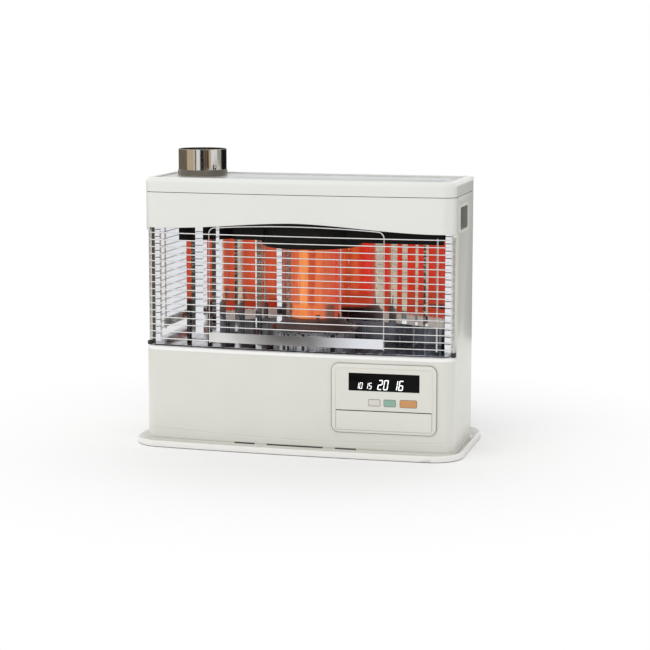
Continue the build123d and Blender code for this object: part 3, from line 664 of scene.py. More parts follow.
@dataclass(frozen=True)
class Finish:
    """A coated, moulded or polished surface."""

    name: str
    colour: Colour
    shade: Colour
    roughness: float = 0.4
    spread: float = 0.06
    metallic: float = 0.0
    grain: float = 700.0
    bump: float = 0.04
    coat: float = 0.0
    dust: float = 0.0
    streaks: Point | None = None
    streak_depth: float = 0.5
    streak_range: Plan = (0.0, 1.0)
    specular: float = 0.5
    bump_reach: float = 0.0004
    coat_roughness: float = 0.12

    def start(self) -> tuple[bpy.types.Material, Tree, bpy.types.Node, Socket]:
        """Starts a new material.

        Returns:
            The material, its tree, its shader and the object's own coordinates.
        """
        material = bpy.data.materials.new(self.name)
        material.use_nodes = True
        tree = Tree(material.node_tree)
        shader = tree.add("ShaderNodeBsdfPrincipled")
        tree.add("ShaderNodeOutputMaterial", {0: shader.outputs[0]})
        place = tree.add("ShaderNodeTexCoord").outputs["Object"]
        return material, tree, shader, place

    def material(self) -> bpy.types.Material:
        """The finish as a material, built once."""
        known = bpy.data.materials.get(self.name)
        return known if known else self.build()

    def build(self) -> bpy.types.Material:
        """Builds the finish's nodes.

        Returns:
            The material.
        """
        material, tree, shader, place = self.start()
        values = {"Vector": place, "Scale": self.grain, "Color": rgba(self.colour), "Shade": rgba(self.shade)}
        grain = tree.add("ShaderNodeGroup", values, node_tree=Effects.grain())
        colour, rough, height = (grain.outputs[key] for key in ("Color", "Patch", "Height"))
        if self.streaks:
            values = {"Vector": place, "Stretch": self.streaks}
            streaking = tree.add("ShaderNodeGroup", values, node_tree=Effects.streaking())
            rough = height = streaking.outputs["Streak"]
            drawn = tree.remap(rough, *self.streak_range, 0.0, self.streak_depth)
            colour = tree.blend(drawn, colour, rgba(self.shade))
        if self.dust:
            values = {"Vector": place, "Color": colour, "Amount": self.dust}
            colour = tree.add("ShaderNodeGroup", values, node_tree=Effects.dust()).outputs["Color"]
        spread = tree.remap(rough, 0.0, 1.0, self.roughness - self.spread, self.roughness + self.spread)
        tree.fill(shader, {"Base Color": colour, "Roughness": spread})
        if self.bump:
            values = {"Height": height, "Strength": self.bump, "Distance": self.bump_reach}
            tree.fill(shader, {"Normal": tree.add("ShaderNodeBump", values).outputs[0]})
        tree.fill(shader, {
            "Metallic": self.metallic,
            "Coat Weight": self.coat,
            "Coat Roughness": self.coat_roughness,
            "Specular IOR Level": self.specular,
        })
        return material


@dataclass(frozen=True)
class FlareFinish(Finish):
    """Pale strips with the mirrors' reflections painted on: cream below, the fire's red above a soft line."""

    # The fire's red, painted as a reflection.
    tint: Colour = (0.95, 0.1, 0.035)
    line: Plan = (281.0, 287.0)
    waver: float = 3.0

    def build(self) -> bpy.types.Material:
        """Builds the enamel with the painted reflection.

        Returns:
            The material.
        """
        material, tree, shader, place = self.start()
        height = tree.add("ShaderNodeSeparateXYZ", {0: place}).outputs["Z"]
        noise = tree.noise(place, self.grain, 3.0)
        lifted = tree.math("ADD", height, tree.remap(noise, 0.3, 0.7, -self.waver * MM, self.waver * MM))
        high = tree.remap(lifted, self.line[0] * MM, self.line[1] * MM)
        enamel = tree.blend(noise, rgba(self.colour), rgba(self.shade))
        tree.fill(
            shader, {"Base Color": tree.blend(high, enamel, rgba(self.tint)), "Roughness": self.roughness},
        )
        return material


@dataclass(frozen=True)
class GlassFinish(Finish):
    """Clear heat-proof glass."""

    bending: float = 1.2

    def build(self) -> bpy.types.Material:
        """Builds the glass with a faint haze that follows its surface.

        Returns:
            The material.
        """
        material, tree, shader, place = self.start()
        noise = tree.noise(place, 30.0, 4.0)
        rough = tree.remap(noise, 0.4, 0.7, self.roughness, self.roughness + self.spread)
        tint = tree.blend(noise, rgba(self.colour), rgba(self.shade))
        values = {"Roughness": rough, "Base Color": tint, "Transmission Weight": 1.0, "IOR": self.bending}
        tree.fill(shader, values)
        return material


@dataclass(frozen=True)
class GlowFinish(Finish):
    """Red-hot metal in upright bands of hotter and cooler glow, with a bright foot."""

    centre: Plan = (10.0, 0.0)
    bands: tuple = (
        (-150.0, (0.55, 0.09, 0.03)), (-120.0, (0.74, 0.1, 0.035)), (-95.0, (0.62, 0.075, 0.028)),
        (-75.0, (0.46, 0.075, 0.04)), (-55.0, (0.54, 0.09, 0.04)), (-28.0, (0.62, 0.12, 0.04)),
        (-18.0, (0.86, 0.29, 0.08)), (-2.0, (0.88, 0.28, 0.07)), (3.0, (0.52, 0.06, 0.014)),
        (15.0, (0.52, 0.055, 0.013)), (20.0, (0.72, 0.16, 0.045)), (32.0, (0.72, 0.15, 0.045)),
        (38.0, (0.6, 0.1, 0.035)), (68.0, (0.6, 0.09, 0.035)), (86.0, (0.6, 0.035, 0.015)),
        (112.0, (0.76, 0.035, 0.018)), (128.0, (0.66, 0.03, 0.013)), (140.0, (0.72, 0.12, 0.035)),
        (152.0, (0.54, 0.05, 0.018)), (165.0, (0.74, 0.13, 0.045)),
    )
    foot: tuple = (
        (-150.0, (0.46, 0.08, 0.03)), (-82.0, (0.45, 0.09, 0.04)), (-75.0, (0.14, 0.06, 0.045)),
        (-58.0, (0.14, 0.06, 0.045)), (-46.0, (0.75, 0.17, 0.05)), (-10.0, (0.9, 0.27, 0.06)),
        (10.0, (0.6, 0.12, 0.035)), (22.0, (0.75, 0.17, 0.045)), (40.0, (0.6, 0.14, 0.06)),
        (50.0, (0.14, 0.06, 0.045)), (70.0, (0.14, 0.06, 0.045)), (77.0, (0.5, 0.05, 0.02)),
    )
    foot_top: Plan = (311.0, 317.0)
    foot_low: Plan = (281.5, 285.0)
    ember: Colour = (0.07, 0.022, 0.018)
    drawn: Point = (260.0, 260.0, 26.0)
    stir: float = 0.008
    flicker: Plan = (0.8, 1.12)

    def build(self) -> bpy.types.Material:
        """Builds a glow that follows the cylinder's height and the direction it faces.

        Returns:
            The material.
        """
        material, tree, shader, place = self.start()
        x, y, z = tree.add("ShaderNodeSeparateXYZ", {0: place}).outputs
        across = tree.math("SUBTRACT", x, self.centre[0] * MM)
        turn = tree.turn(across, tree.math("SUBTRACT", y, self.centre[1] * MM))
        drawn = tree.add("ShaderNodeVectorMath", {0: place, 1: self.drawn}, operation="MULTIPLY")
        noise = tree.noise(drawn.outputs[0], 1.0, 3.0)
        stirred = tree.math("ADD", turn, tree.remap(noise, 0.3, 0.7, -self.stir, self.stir))
        high = tree.remap(z, self.foot_top[0] * MM, self.foot_top[1] * MM)
        low = tree.remap(z, self.foot_low[0] * MM, self.foot_low[1] * MM)
        hot = tree.blend(high, tree.wheel(stirred, self.foot), tree.wheel(stirred, self.bands))
        lit = tree.blend(low, rgba(self.ember), hot)
        flicker = tree.remap(noise, 0.25, 0.75, *self.flicker)
        scaled = tree.add("ShaderNodeVectorMath", {0: lit, "Scale": flicker}, operation="SCALE")
        tree.fill(shader, {
            "Emission Color": scaled.outputs[0],
            "Emission Strength": 1.0,
            "Base Color": rgba(self.colour),
            "Roughness": self.roughness,
        })
        return material


@dataclass(frozen=True)
class LampFinish(Finish):
    """A lit segment of the display."""

    strength: float = 1.0

    def build(self) -> bpy.types.Material:
        """Builds a lit surface with a slight unevenness.

        Returns:
            The material.
        """
        material, tree, shader, place = self.start()
        lit = tree.blend(tree.noise(place, 400.0, 2.0), rgba(self.colour), rgba(self.shade))
        values = {"Emission Color": lit, "Emission Strength": self.strength, "Base Color": rgba(self.shade)}
        tree.fill(shader, values)
        return material


@dataclass(frozen=True)
class FloorFinish(Finish):
    """Pale floor that takes the heater's shadow and fades to plain white away from it."""

    fade: Plan = (430.0, 1000.0)

    def build(self) -> bpy.types.Material:
        """Builds the floor's two shaders and mixes them by distance.

        Returns:
            The material.
        """
        material, tree, shader, place = self.start()
        pale = tree.blend(tree.noise(place, self.grain, 2.0), rgba(self.colour), rgba(self.shade))
        values = {"Base Color": pale, "Roughness": self.roughness, "Specular IOR Level": self.specular}
        tree.fill(shader, values)
        path = tree.add("ShaderNodeLightPath").outputs
        seen = tree.math("MAXIMUM", path["Is Camera Ray"], path["Is Transmission Ray"])
        away = tree.add("ShaderNodeVectorMath", {0: place}, operation="LENGTH").outputs["Value"]
        far = tree.math("MULTIPLY", tree.remap(away, self.fade[0] * MM, self.fade[1] * MM), seen)
        white = tree.add("ShaderNodeEmission", {"Color": WHITE, "Strength": 1.0})
        mixed = tree.add("ShaderNodeMixShader", {0: far, 1: shader.outputs[0], 2: white.outputs[0]})
        output = next(node for node in tree.tree.nodes if node.type == "OUTPUT_MATERIAL")
        tree.fill(output, {0: mixed.outputs[0]})
        return material


ENAMEL = Finish(
    "warm_white_enamel", (0.76, 0.755, 0.7), (0.74, 0.735, 0.68), 0.34, 0.04, bump=0.02, coat=0.35,
    grain=420.0, dust=0.05,
)
# The casing enamel made lighter for the upper band and top frame: painted light, for the extra light they get
# from above.
ENAMEL_PAINTED_LIGHT = Finish(
    "enamel_with_painted_top_light", (0.815, 0.825, 0.783), (0.8, 0.81, 0.768), 0.34, 0.04, bump=0.02, coat=0.35,
    grain=420.0,
)
# Whiter enamel for the rolled lip: partly the trim's own white, partly a painted highlight where its top
# faces up.
SILL_ENAMEL_AND_HIGHLIGHT = Finish(
    "sill_enamel_and_painted_highlight", (0.93, 0.93, 0.915), (0.92, 0.92, 0.9), 0.3, 0.04, bump=0.02, coat=0.4,
    grain=420.0,
)
# A darker copy of the moulding: painted shade for the inside of the grip pockets.
RECESS = Finish("shaded_moulding", (0.36, 0.36, 0.34), (0.3, 0.3, 0.285), 0.5, 0.05, bump=0.05, grain=1500.0)
MOULDED = Finish(
    "white_moulded_plastic", (0.78, 0.775, 0.71), (0.76, 0.755, 0.69), 0.42, 0.05, bump=0.05, grain=1500.0,
)
# Grey-brown for thin pieces set in gaps and behind openings: painted shade where the gap is dark.
SHADOW_GAP = Finish(
    "painted_shadow_gap", (0.13, 0.115, 0.1), (0.1, 0.09, 0.08), 0.7, 0.05, bump=0.02, specular=0.1,
)
SILVER = Finish(
    "silver_coated_plate", (0.62, 0.63, 0.63), (0.56, 0.57, 0.57), 0.32, 0.07, metallic=0.85,
    streaks=(15.0, 900.0, 900.0), bump=0.05,
)
STAINLESS = Finish(
    "bright_stainless_steel", (0.74, 0.72, 0.67), (0.66, 0.63, 0.57), 0.1, 0.04, metallic=1.0,
    streaks=(300.0, 300.0, 20.0), bump=0.02,
)
MIRROR = Finish(
    "polished_mirror_steel", (0.86, 0.86, 0.85), (0.82, 0.82, 0.81), 0.055, 0.02, metallic=1.0,
    streaks=(260.0, 260.0, 14.0), bump=0.01,
)
CHROME = Finish(
    "bright_plating", (0.82, 0.82, 0.82), (0.74, 0.74, 0.74), 0.09, 0.03, metallic=1.0, grain=900.0,
    bump=0.01,
)
HEAT_BLACK = Finish(
    "heat_proof_black", (0.006, 0.006, 0.006), (0.011, 0.01, 0.009), 0.6, 0.1, grain=1800.0, bump=0.12,
    specular=0.14,
)
# The chamber floor: a dark mirror with light streaks painted into its colour, partly real reflection, partly
# painted reflection streaks.
DARK_FLOOR = Finish(
    "floor_mirror_painted_streaks", (0.02, 0.024, 0.034), (0.56, 0.59, 0.66), 0.09, 0.04, metallic=1.0,
    streaks=(80.0, 4.0, 1.0), streak_depth=0.95, streak_range=(0.5, 0.8), bump=0.015,
)
# A dark strip with light streaks painted on: painted reflections of the floor and pan in the wing's foot.
FOOT_REFLECTION_STREAKS = Finish(
    "dark_strip_painted_reflection_streaks", (0.005, 0.006, 0.011), (0.5, 0.54, 0.62), 0.4, 0.1,
    streaks=(85.0, 85.0, 2.0), streak_depth=0.8, streak_range=(0.66, 0.85), bump=0.05, specular=0.06,
)
# Half-metal steel with bump ripples and dark and light streaks painted into its colour: partly real
# reflection, partly painted reflection streaks.
PAN_STEEL = Finish(
    "rippled_steel_painted_streaks", (0.95, 0.95, 0.98), (0.03, 0.03, 0.035), 0.3, 0.08, metallic=0.45,
    streaks=(110.0, 110.0, 2.0), streak_depth=1.0, streak_range=(0.6, 0.72), bump=0.03,
)
COLLAR_STEEL = Finish(
    "shaded_stainless_steel", (0.24, 0.22, 0.18), (0.12, 0.11, 0.09), 0.25, 0.06, metallic=1.0,
    streaks=(200.0, 200.0, 8.0), streak_depth=0.8,
)
TRAY_ENAMEL = Finish(
    "tray_white_enamel", (0.87, 0.855, 0.825), (0.85, 0.835, 0.8), 0.32, 0.04, bump=0.02, coat=0.35,
    grain=420.0, dust=0.04,
)
# Grey for the lines round the bezel and the keys: painted shade in their gaps.
PAINTED_SEAM_SHADE = Finish(
    "painted_shade_line", (0.33, 0.31, 0.28), (0.28, 0.26, 0.235), 0.7, 0.05, bump=0.02, specular=0.1,
)
CAST = Finish(
    "dark_cast_iron", (0.08, 0.05, 0.047), (0.15, 0.1, 0.095), 0.5, 0.12, metallic=0.5, grain=500.0,
    bump=0.3,
)
ZINC = Finish(
    "zinc_plated_sheet", (0.5, 0.51, 0.52), (0.42, 0.43, 0.44), 0.36, 0.1, metallic=0.9, grain=140.0,
    bump=0.05,
)
NYLON = Finish("black_nylon", (0.02, 0.02, 0.022), (0.03, 0.03, 0.03), 0.45, 0.08, grain=1300.0, bump=0.08)
LENS = Finish(
    "black_window", (0.003, 0.003, 0.003), (0.006, 0.006, 0.006), 0.12, 0.03, grain=300.0, bump=0.005,
    specular=0.06,
)
KEY_WHITE = Finish(
    "key_white_gloss", (0.74, 0.7, 0.66), (0.7, 0.66, 0.62), 0.25, 0.04, grain=900.0, bump=0.02,
)
KEY_GREEN = Finish("key_green_gloss", (0.3, 0.5, 0.4), (0.27, 0.45, 0.36), 0.25, 0.04, grain=900.0, bump=0.02)
KEY_ORANGE = Finish(
    "key_orange_gloss", (0.68, 0.34, 0.13), (0.62, 0.3, 0.11), 0.25, 0.04, grain=900.0, bump=0.02,
)
KEY_GREY = Finish("key_grey_rubber", (0.24, 0.25, 0.25), (0.2, 0.21, 0.21), 0.7, 0.08, grain=1200.0, bump=0.1)
BOARD = Finish(
    "green_board", (0.02, 0.12, 0.05), (0.03, 0.17, 0.07), 0.45, 0.1, grain=260.0, bump=0.1, coat=0.3,
)
# Black moulded plastic for the real black parts; the strip under the tray and the block under the finger hole
# use it as painted shade.
BLACK_PLASTIC_AND_SHADE = Finish(
    "black_plastic_and_painted_shade", (0.03, 0.03, 0.032), (0.045, 0.045, 0.047), 0.5, 0.08, grain=1500.0, bump=0.15,
)
BRASS = Finish(
    "machined_brass", (0.72, 0.5, 0.2), (0.6, 0.4, 0.15), 0.25, 0.08, metallic=1.0,
    streaks=(900.0, 60.0, 900.0), bump=0.05,
)
COPPER = Finish(
    "drawn_copper", (0.72, 0.36, 0.2), (0.6, 0.28, 0.15), 0.3, 0.08, metallic=1.0, grain=300.0, bump=0.05,
)
CERAMIC = Finish("insulator_ceramic", (0.8, 0.77, 0.7), (0.72, 0.69, 0.62), 0.3, 0.05, grain=800.0, bump=0.05)
GLASS = GlassFinish("heat_proof_glass", (1.0, 0.97, 0.94), (1.0, 0.93, 0.87), 0.0, 0.03)
GLOW = GlowFinish("glowing_steel", (0.08, 0.03, 0.02), (0.1, 0.03, 0.02), 0.7)
PALE_FLOOR = FloorFinish("pale_floor", (0.98, 0.98, 0.98), (0.97, 0.97, 0.97), 0.9, grain=50.0, specular=0.0)
LIT = LampFinish("lit_segment", (0.92, 0.95, 0.95), (0.8, 0.84, 0.84), strength=0.95)
# Painted reflection: the glow and the room as the wing mirrors show them near their foot.
PAINTED_FIRE_REFLECTION = FlareFinish("enamel_painted_fire_reflection", (0.98, 0.95, 0.86), (0.94, 0.88, 0.78), 0.45, grain=160.0)

NODE_FINISH = {"chamber_floor": DARK_FLOOR, "igniter": CAST}

SLOT_FINISH = {
    "white_enamel": ENAMEL,
    "white_plastic": MOULDED,
    "silver_plate": SILVER,
    "stainless": STAINLESS,
    "mirror": MIRROR,
    "chrome": CHROME,
    "black_heatproof": HEAT_BLACK,
    "cast_black": CAST,
    "zinc": ZINC,
    "glass": GLASS,
    "glow": GLOW,
    "black_nylon": NYLON,
    "black_lens": LENS,
    "key_white": KEY_WHITE,
    "key_green": KEY_GREEN,
    "key_orange": KEY_ORANGE,
    "key_grey": KEY_GREY,
    "board": BOARD,
    "black_plastic": BLACK_PLASTIC_AND_SHADE,
    "brass": BRASS,
    "copper": COPPER,
    "ceramic": CERAMIC,
}


@dataclass(frozen=True)
class Outline:
    """A plan outline with a bowed front and rounded corners."""

    half: float
    front: float
    back: float
    front_r: float
    back_r: float
    bow: float

    def inward(self, inset: float) -> "Outline":
        """The same outline moved inwards.

        Args:
            inset: how far it moves.

        Returns:
            The smaller outline.
        """
        return Outline(
            self.half - inset,
            self.front + inset,
            self.back - inset,
            max(self.front_r - inset, 2.0),
            max(self.back_r - inset, 1.0),
            self.bow,
        )

    def shift(self, place: Vector) -> float:
        """How far the bow carries a point of the front half forwards."""
        return -self.bow * max(0.0, 1 - (place.x / self.half) ** 2)

    def face(self, name: str, z: float, cuts: int = 40, segments: int = 10) -> Bench:
        """The outline as one flat face.

        Args:
            name: the piece's name.
            z: the face's height.
            cuts: how finely the bowed front is divided.
            segments: how finely the corners are rounded.

        Returns:
            The bench in edit mode.
        """
        made = Bench.sheet(name, (-self.half, self.half), (self.front, self.back), z)
        middle = (self.front + self.back) / 2
        made.pick(Pick.VERTS, lambda p, n: p.y < middle).bevel(self.front_r, segments, corners=True)
        made.pick(Pick.VERTS, lambda p, n: p.y > middle).bevel(self.back_r, segments, corners=True)
        made.edges(lambda p, n: abs(p.x) < 1 and p.y < middle).subdivide(cuts)
        made.slide(1, self.shift, lambda p: p.y < self.front + self.front_r + 0.01)
        return made

    def block(self, name: str, low: float, high: float, cuts: int = 60, segments: int = 10) -> Bench:
        """The outline as a solid block.

        Args:
            name: the piece's name.
            low: its foot.
            high: its top.
            cuts: how finely the bowed front is divided.
            segments: how finely the corners are rounded.

        Returns:
            The bench in edit mode.
        """
        made = self.face(name, low, cuts, segments)
        made.faces()
        return made.extrude(0, 0, high - low)

    def wall(self, name: str, low: float, high: float, cuts: int = 60) -> Bench:
        """The outline as an upright wall that is open at its foot and top."""
        made = self.block(name, low, high, cuts)
        made.faces(lambda p, n: abs(n.z) > ALONG)
        return made.delete("ONLY_FACE")


CASE = Outline(350.0, -118.0, 112.0, 26.0, 13.0, 13.0)
FLUE_AT: Plan = (-262.8, 38.0)
FLUE_BORE = 53.6
TRAY = Outline(370.0, -163.0, 175.0, 62.0, 62.0, 11.9)


@dataclass
class FloorTray:
    """Pressed tray under the heater, with a rolled rim."""

    height: float = 14.0
    floor: float = 0.4
    seat: float = 1.3
    rim: float = 5.0
    rim_roll: float = 2.4
    slope_run: float = 11.0
    floor_step: float = 1.5
    contact_shadow_inset: float = 0.9
    foot_z: float = 0.05

    def build(self) -> None:
        """Models the tray from its outline: wall, rolled rim, slope and flat floor."""
        # Painted shadow: a black strip under the tray's edge, for its contact shadow on the floor.
        foot = TRAY.inward(self.contact_shadow_inset).block("tray_foot", self.foot_z, self.foot_z + self.seat, 44, 16)
        foot.smooth(ROLLED_ANGLE).dress("tray_foot", BLACK_PLASTIC_AND_SHADE, "black_plastic", Body.HEATER)
        tray = TRAY.block("floor_tray_shell", self.seat, self.height, 44, 16)
        tray.faces(lambda p, n: p.z > self.height - 1 and abs(n.z) > ALONG).inset(self.rim)
        tray.inset(self.slope_run, -(self.height - self.seat - self.floor - self.floor_step))
        tray.inset(self.rim, -self.floor_step)
        tray.weld()
        tray.edges(lambda p, n: p.z > self.height - 0.1 and self.near_wall(p)).bevel(self.rim_roll, 4)
        tray.faces(lambda p, n: n.z < -ALONG and p.z < self.seat + 0.1).inset(2.2)
        tray.inset(10.0)
        tray.modify("WEIGHTED_NORMAL")
        tray.smooth(ROLLED_ANGLE).dress(
            "floor_tray_shell", TRAY_ENAMEL, "white_enamel", Body.HEATER, ["floor_tray"],
        )

    def near_wall(self, place: Vector) -> bool:
        """Whether an edge's middle lies on the tray's outer wall."""
        return self.gap(place) < 1.0

    @staticmethod
    def gap(place: Vector) -> float:
        """How far a point lies inside the tray's outline.

        Args:
            place: the point.

        Returns:
            The distance to the nearest stretch of the outline.
        """
        y = place.y - (TRAY.shift(place) if place.y < TRAY.front + TRAY.front_r else 0.0)
        middle = (TRAY.front + TRAY.back) / 2
        dx, dy = abs(place.x), abs(y - middle)
        reach_x, reach_y, r = TRAY.half, (TRAY.back - TRAY.front) / 2, TRAY.front_r
        if dx > reach_x - r and dy > reach_y - r:
            return r - math.hypot(dx - reach_x + r, dy - reach_y + r)
        return min(reach_x - dx, reach_y - dy)


@dataclass
class Casing:
    """Outer panels, top frame and top plate."""

    sheet: float = 1.2
    foot: float = 14.4
    lip: float = 218.5
    lip_depth: float = 14.0
    sill_low: float = 210.5
    skirt_low: float = 3.2
    slot_z: Plan = (9.8, 13.8)
    joint_z: float = 11.6
    seam_gap: float = 1.3
    arch_end: float = 484.0
    arch_mid: float = 501.0
    arch_half: float = 285.0
    seam: float = 562.0
    top: float = 595.0
    rim_width: float = 15.0
    rim_r: float = 11.5
    plate_z: float = 590.6
    front_seam: float = -83.0
    side_return: float = 24.0
    grip: Point = (350.0, -13.0, 513.0)
    grip_size: Plan = (96.0, 54.0)
    slots: tuple = ((-115, 47), (0, 128), (115, 47))
    crease: Point = (36.2, 26.2, 33.2)
    crease_reach: float = 318.0
    crease_depth: float = 0.9
    crease_rows: tuple = (20.0, 2.0, 1.2, 1.2, 2.0)
    lip_roll: float = 6.5
    arch_ease: float = 0.9
    edge_in: float = 9.0
    edge_roll: float = 1.6
    band_step: float = 30.0
    joint_gap: float = 0.5
    cup_wall: float = 4.0
    cup_proud: float = 1.25
    cup_depth: float = 22.0
    liner_gap: float = 2.6
    liner_depth: float = 19.2
    rear_slots: int = 7
    slot_pitch: float = 62.0
    ribs: Point = (-76.0, -44.0, -12.0)

    def build(self) -> None:
        """Models every panel."""
        self.lower_front()
        self.sill()
        self.skirt()
        self.upper_front()
        self.sides()
        self.top_frame()
        self.top_sheet()

    def crease_z(self, x: float) -> float:
        """Height of the pressed line across the foot of the front panel."""
        left, middle, right = self.crease
        t = x / self.crease_reach
        return middle + (left - middle) * max(-t, 0) ** 2 + (right - middle) * max(t, 0) ** 2

    def arch_z(self, x: float) -> float:
        """Height of the upper panel's lower edge."""
        t = min(1.0, abs(x) / (self.arch_half + 30))
        return self.arch_mid - (self.arch_mid - self.arch_end) * (t * t * (3 - 2 * t)) ** self.arch_ease

    def lower_front(self) -> None:
        """Bowed front panel with a pressed crease."""
        panel = CASE.face("front_panel", self.foot, 60, 10)
        rows = self.crease_rows
        panel.faces()
        for rise in (*rows, self.sill_low - self.foot - sum(rows)):
            panel.extrude(0, 0, rise)
        panel.faces(lambda p, n: abs(n.z) > ALONG).delete("ONLY_FACE")
        panel.slice((0, self.front_seam, 0), (0, 1, 0))
        middle = self.foot + sum(rows[:3])
        low, high = self.foot + rows[0] - 0.5, self.foot + sum(rows) + 0.5
        panel.slide(2, lambda p: self.crease_z(p.x) - middle, lambda p: low < p.z < high)
        panel.slide(
            1, lambda p: self.crease_depth, lambda p: abs(p.z - self.crease_z(p.x)) < 0.3 and p.y < -105,
        )
        panel.thicken(self.sheet)
        hole = Bench.crate("bezel_tool", (-108, 108), (-30, 30), (-73, 73)).place(ControlUnit.place_matrix())
        panel.carve(hole)
        panel.smooth(SHEET_ANGLE).dress(
            "front_panel", ENAMEL, "white_enamel", Body.HEATER, ["lower_front_panel"],
        )

    def sill(self) -> None:
        """Rolled lip along the top of the front panel, in a whiter enamel: partly the trim's own white,
        partly a painted highlight on its upward-facing top.
        """
        sill = CASE.block("window_sill", self.sill_low + 0.05, self.lip)
        sill.faces(lambda p, n: p.z < self.sill_low + 1 and abs(n.z) > ALONG).delete("ONLY_FACE")
        sill.faces(lambda p, n: p.z > self.lip - 0.1 and abs(n.z) > ALONG).inset(self.lip_depth)
        sill.delete("FACE")
        sill.slice((0, self.front_seam, 0), (0, 1, 0))
        sill.edges(lambda p, n: p.z > self.lip - 0.1 and self.on_wall(p) and abs(n.z) < LEVEL_EDGE)
        sill.bevel(self.lip_roll, 6)
        sill.thicken(self.sheet)
        sill.smooth(SHEET_ANGLE).dress("window_sill", SILL_ENAMEL_AND_HIGHLIGHT, "white_enamel", Body.HEATER)

    def skirt(self) -> None:
        """Foot wall under the panels: a fine joint and three air slots, with a dark wall behind them that
        paints the shade seen through them.
        """
        joint, top = self.joint_z, self.foot - 0.1
        for name, low, high in (("low", self.skirt_low, joint), ("high", joint + self.joint_gap, top)):
            foot = CASE.inward(0.7).wall(f"foot_skirt_{name}", low, high).thicken(1.0)
            spans = [(x - width / 2, x + width / 2) for x, width in self.slots]
            foot.carve(*[Bench.crate("slot_tool", span, (-150, -100), self.slot_z) for span in spans])
            foot.smooth(SHEET_ANGLE).dress(f"foot_skirt_{name}", ENAMEL, "white_enamel", Body.HEATER)
        # Painted shade: a dark wall just inside the foot, seen through the joint and the slots.
        shade_wall = CASE.inward(2.2).wall("foot_shade_wall", self.skirt_low, top).thicken(0.8)
        shade_wall.smooth(SHEET_ANGLE).dress("foot_shade_wall", SHADOW_GAP, "black_plastic", Body.HEATER)

    def on_wall(self, place: Vector) -> bool:
        """Whether a point lies on the casing's outer wall at the front.

        Args:
            place: the point.

        Returns:
            True if it is less than a millimetre inside the outline.
        """
        y = place.y - CASE.shift(place)
        dx = abs(place.x) - (CASE.half - CASE.front_r)
        dy = (CASE.front + CASE.front_r) - y
        if dx > 0 and dy > 0:
            return math.hypot(dx, dy) > CASE.front_r - 1.0
        return y < CASE.front + 1.0 or abs(place.x) > CASE.half - 1.0

    def upper_front(self) -> None:
        """Band above the window with a rolled edge that follows the arch."""
        band = CASE.block("upper_band", self.arch_end, self.arch_end + self.band_step)
        band.extrude(0, 0, self.seam - self.arch_end - self.band_step)
        band.faces(lambda p, n: p.z > self.seam - 0.1 and abs(n.z) > ALONG).delete("ONLY_FACE")
        band.faces(lambda p, n: p.z < self.arch_end + 0.1 and abs(n.z) > ALONG).inset(self.edge_in)
        band.delete("FACE")
        band.slice((0, self.front_seam, 0), (0, 1, 0))
        band.slide(2, lambda p: self.arch_z(p.x) - self.arch_end, lambda p: p.z < self.arch_end + 1)
        band.edges(
            lambda p, n: abs(p.z - self.arch_z(p.x)) < 0.4 and self.on_wall(p) and abs(n.z) < LEVEL_EDGE
        )
        band.bevel(self.edge_roll, 3)
        band.weld()
        band.thicken(self.sheet)
        band.smooth(SHEET_ANGLE).dress(
            "upper_band", ENAMEL_PAINTED_LIGHT, "white_enamel", Body.HEATER, ["upper_front_panel"],
        )

    def sides(self) -> None:
        """Side walls with their rear return, front flange and the hole for the hand grip."""
        wall = CASE.wall("side_panel_right", self.foot, self.seam, 4)
        wall.slice((0, self.front_seam + 0.4, 0), (0, -1, 0))
        wall.slice((CASE.half - self.side_return, 0, 0), (-1, 0, 0))
        wall.thicken(self.sheet)
        x = self.grip[0]
        wall.carve(self.grip_block("grip_tool", (x - 10, x + 10), -1))
        flange_y = self.front_seam + 0.4
        flange = Bench.crate(
            "flange", (x - 13, x - 0.6), (flange_y, flange_y + self.sheet), (self.lip, self.arch_end),
        )
        wall.join(flange)
        wall.soften(0.35)
        wall.pair(SHEET_ANGLE, "side_panel_{}_skin", ENAMEL, "white_enamel", "side_panel")
        self.grips()

    def grip_block(self, name: str, x: Plan, more: float) -> Bench:
        """A block as wide and high as the hand grip, or some more all round."""
        (_, y, z), (width, height) = self.grip, self.grip_size
        reach_y, reach_z = width / 2 + more, height / 2 + more
        return Bench.crate(name, x, (y - reach_y, y + reach_y), (z - reach_z, z + reach_z))

    def grips(self) -> None:
        """Moulded hand grips: a rounded flange outside and a deep pocket, with a grey sheet of painted shade
        inside it.
        """
        x, y, z = self.grip
        width, height = self.grip_size
        cup = self.grip_block("grip", (x - self.cup_depth, x + self.cup_proud), self.cup_wall)
        cup.edges(lambda p, n: abs(n.x) > ALONG).bevel(12, 6)
        cup.faces(lambda p, n: n.x > ALONG).inset(6.0)
        cup.extrude(1 - self.cup_depth, 0, 0)
        cup.weld()
        cup.faces(lambda p, n: n.x < -ALONG and p.x < x + 1 - self.cup_depth)
        cup.resize(1, (width - 6) / (width + 8), (height - 6) / (height + 8), (x, y, z))
        cup.soften(0.8, 3, 50).pair(ROUND_ANGLE, "hand_grip_{}", MOULDED, "white_plastic", "handle_cup")
        # Painted shade: a grey sheet lining the pocket, darker than the grip itself.
        pocket_shade = self.grip_block("grip_liner", (x - self.liner_depth, x - 0.6), -self.liner_gap)
        pocket_shade.edges(lambda p, n: abs(n.x) > ALONG).bevel(8, 5)
        pocket_shade.faces(lambda p, n: n.x > ALONG).delete("FACE")
        pocket_shade.thicken(0.5).pair(ROUND_ANGLE, "grip_liner_{}", RECESS, "white_plastic")

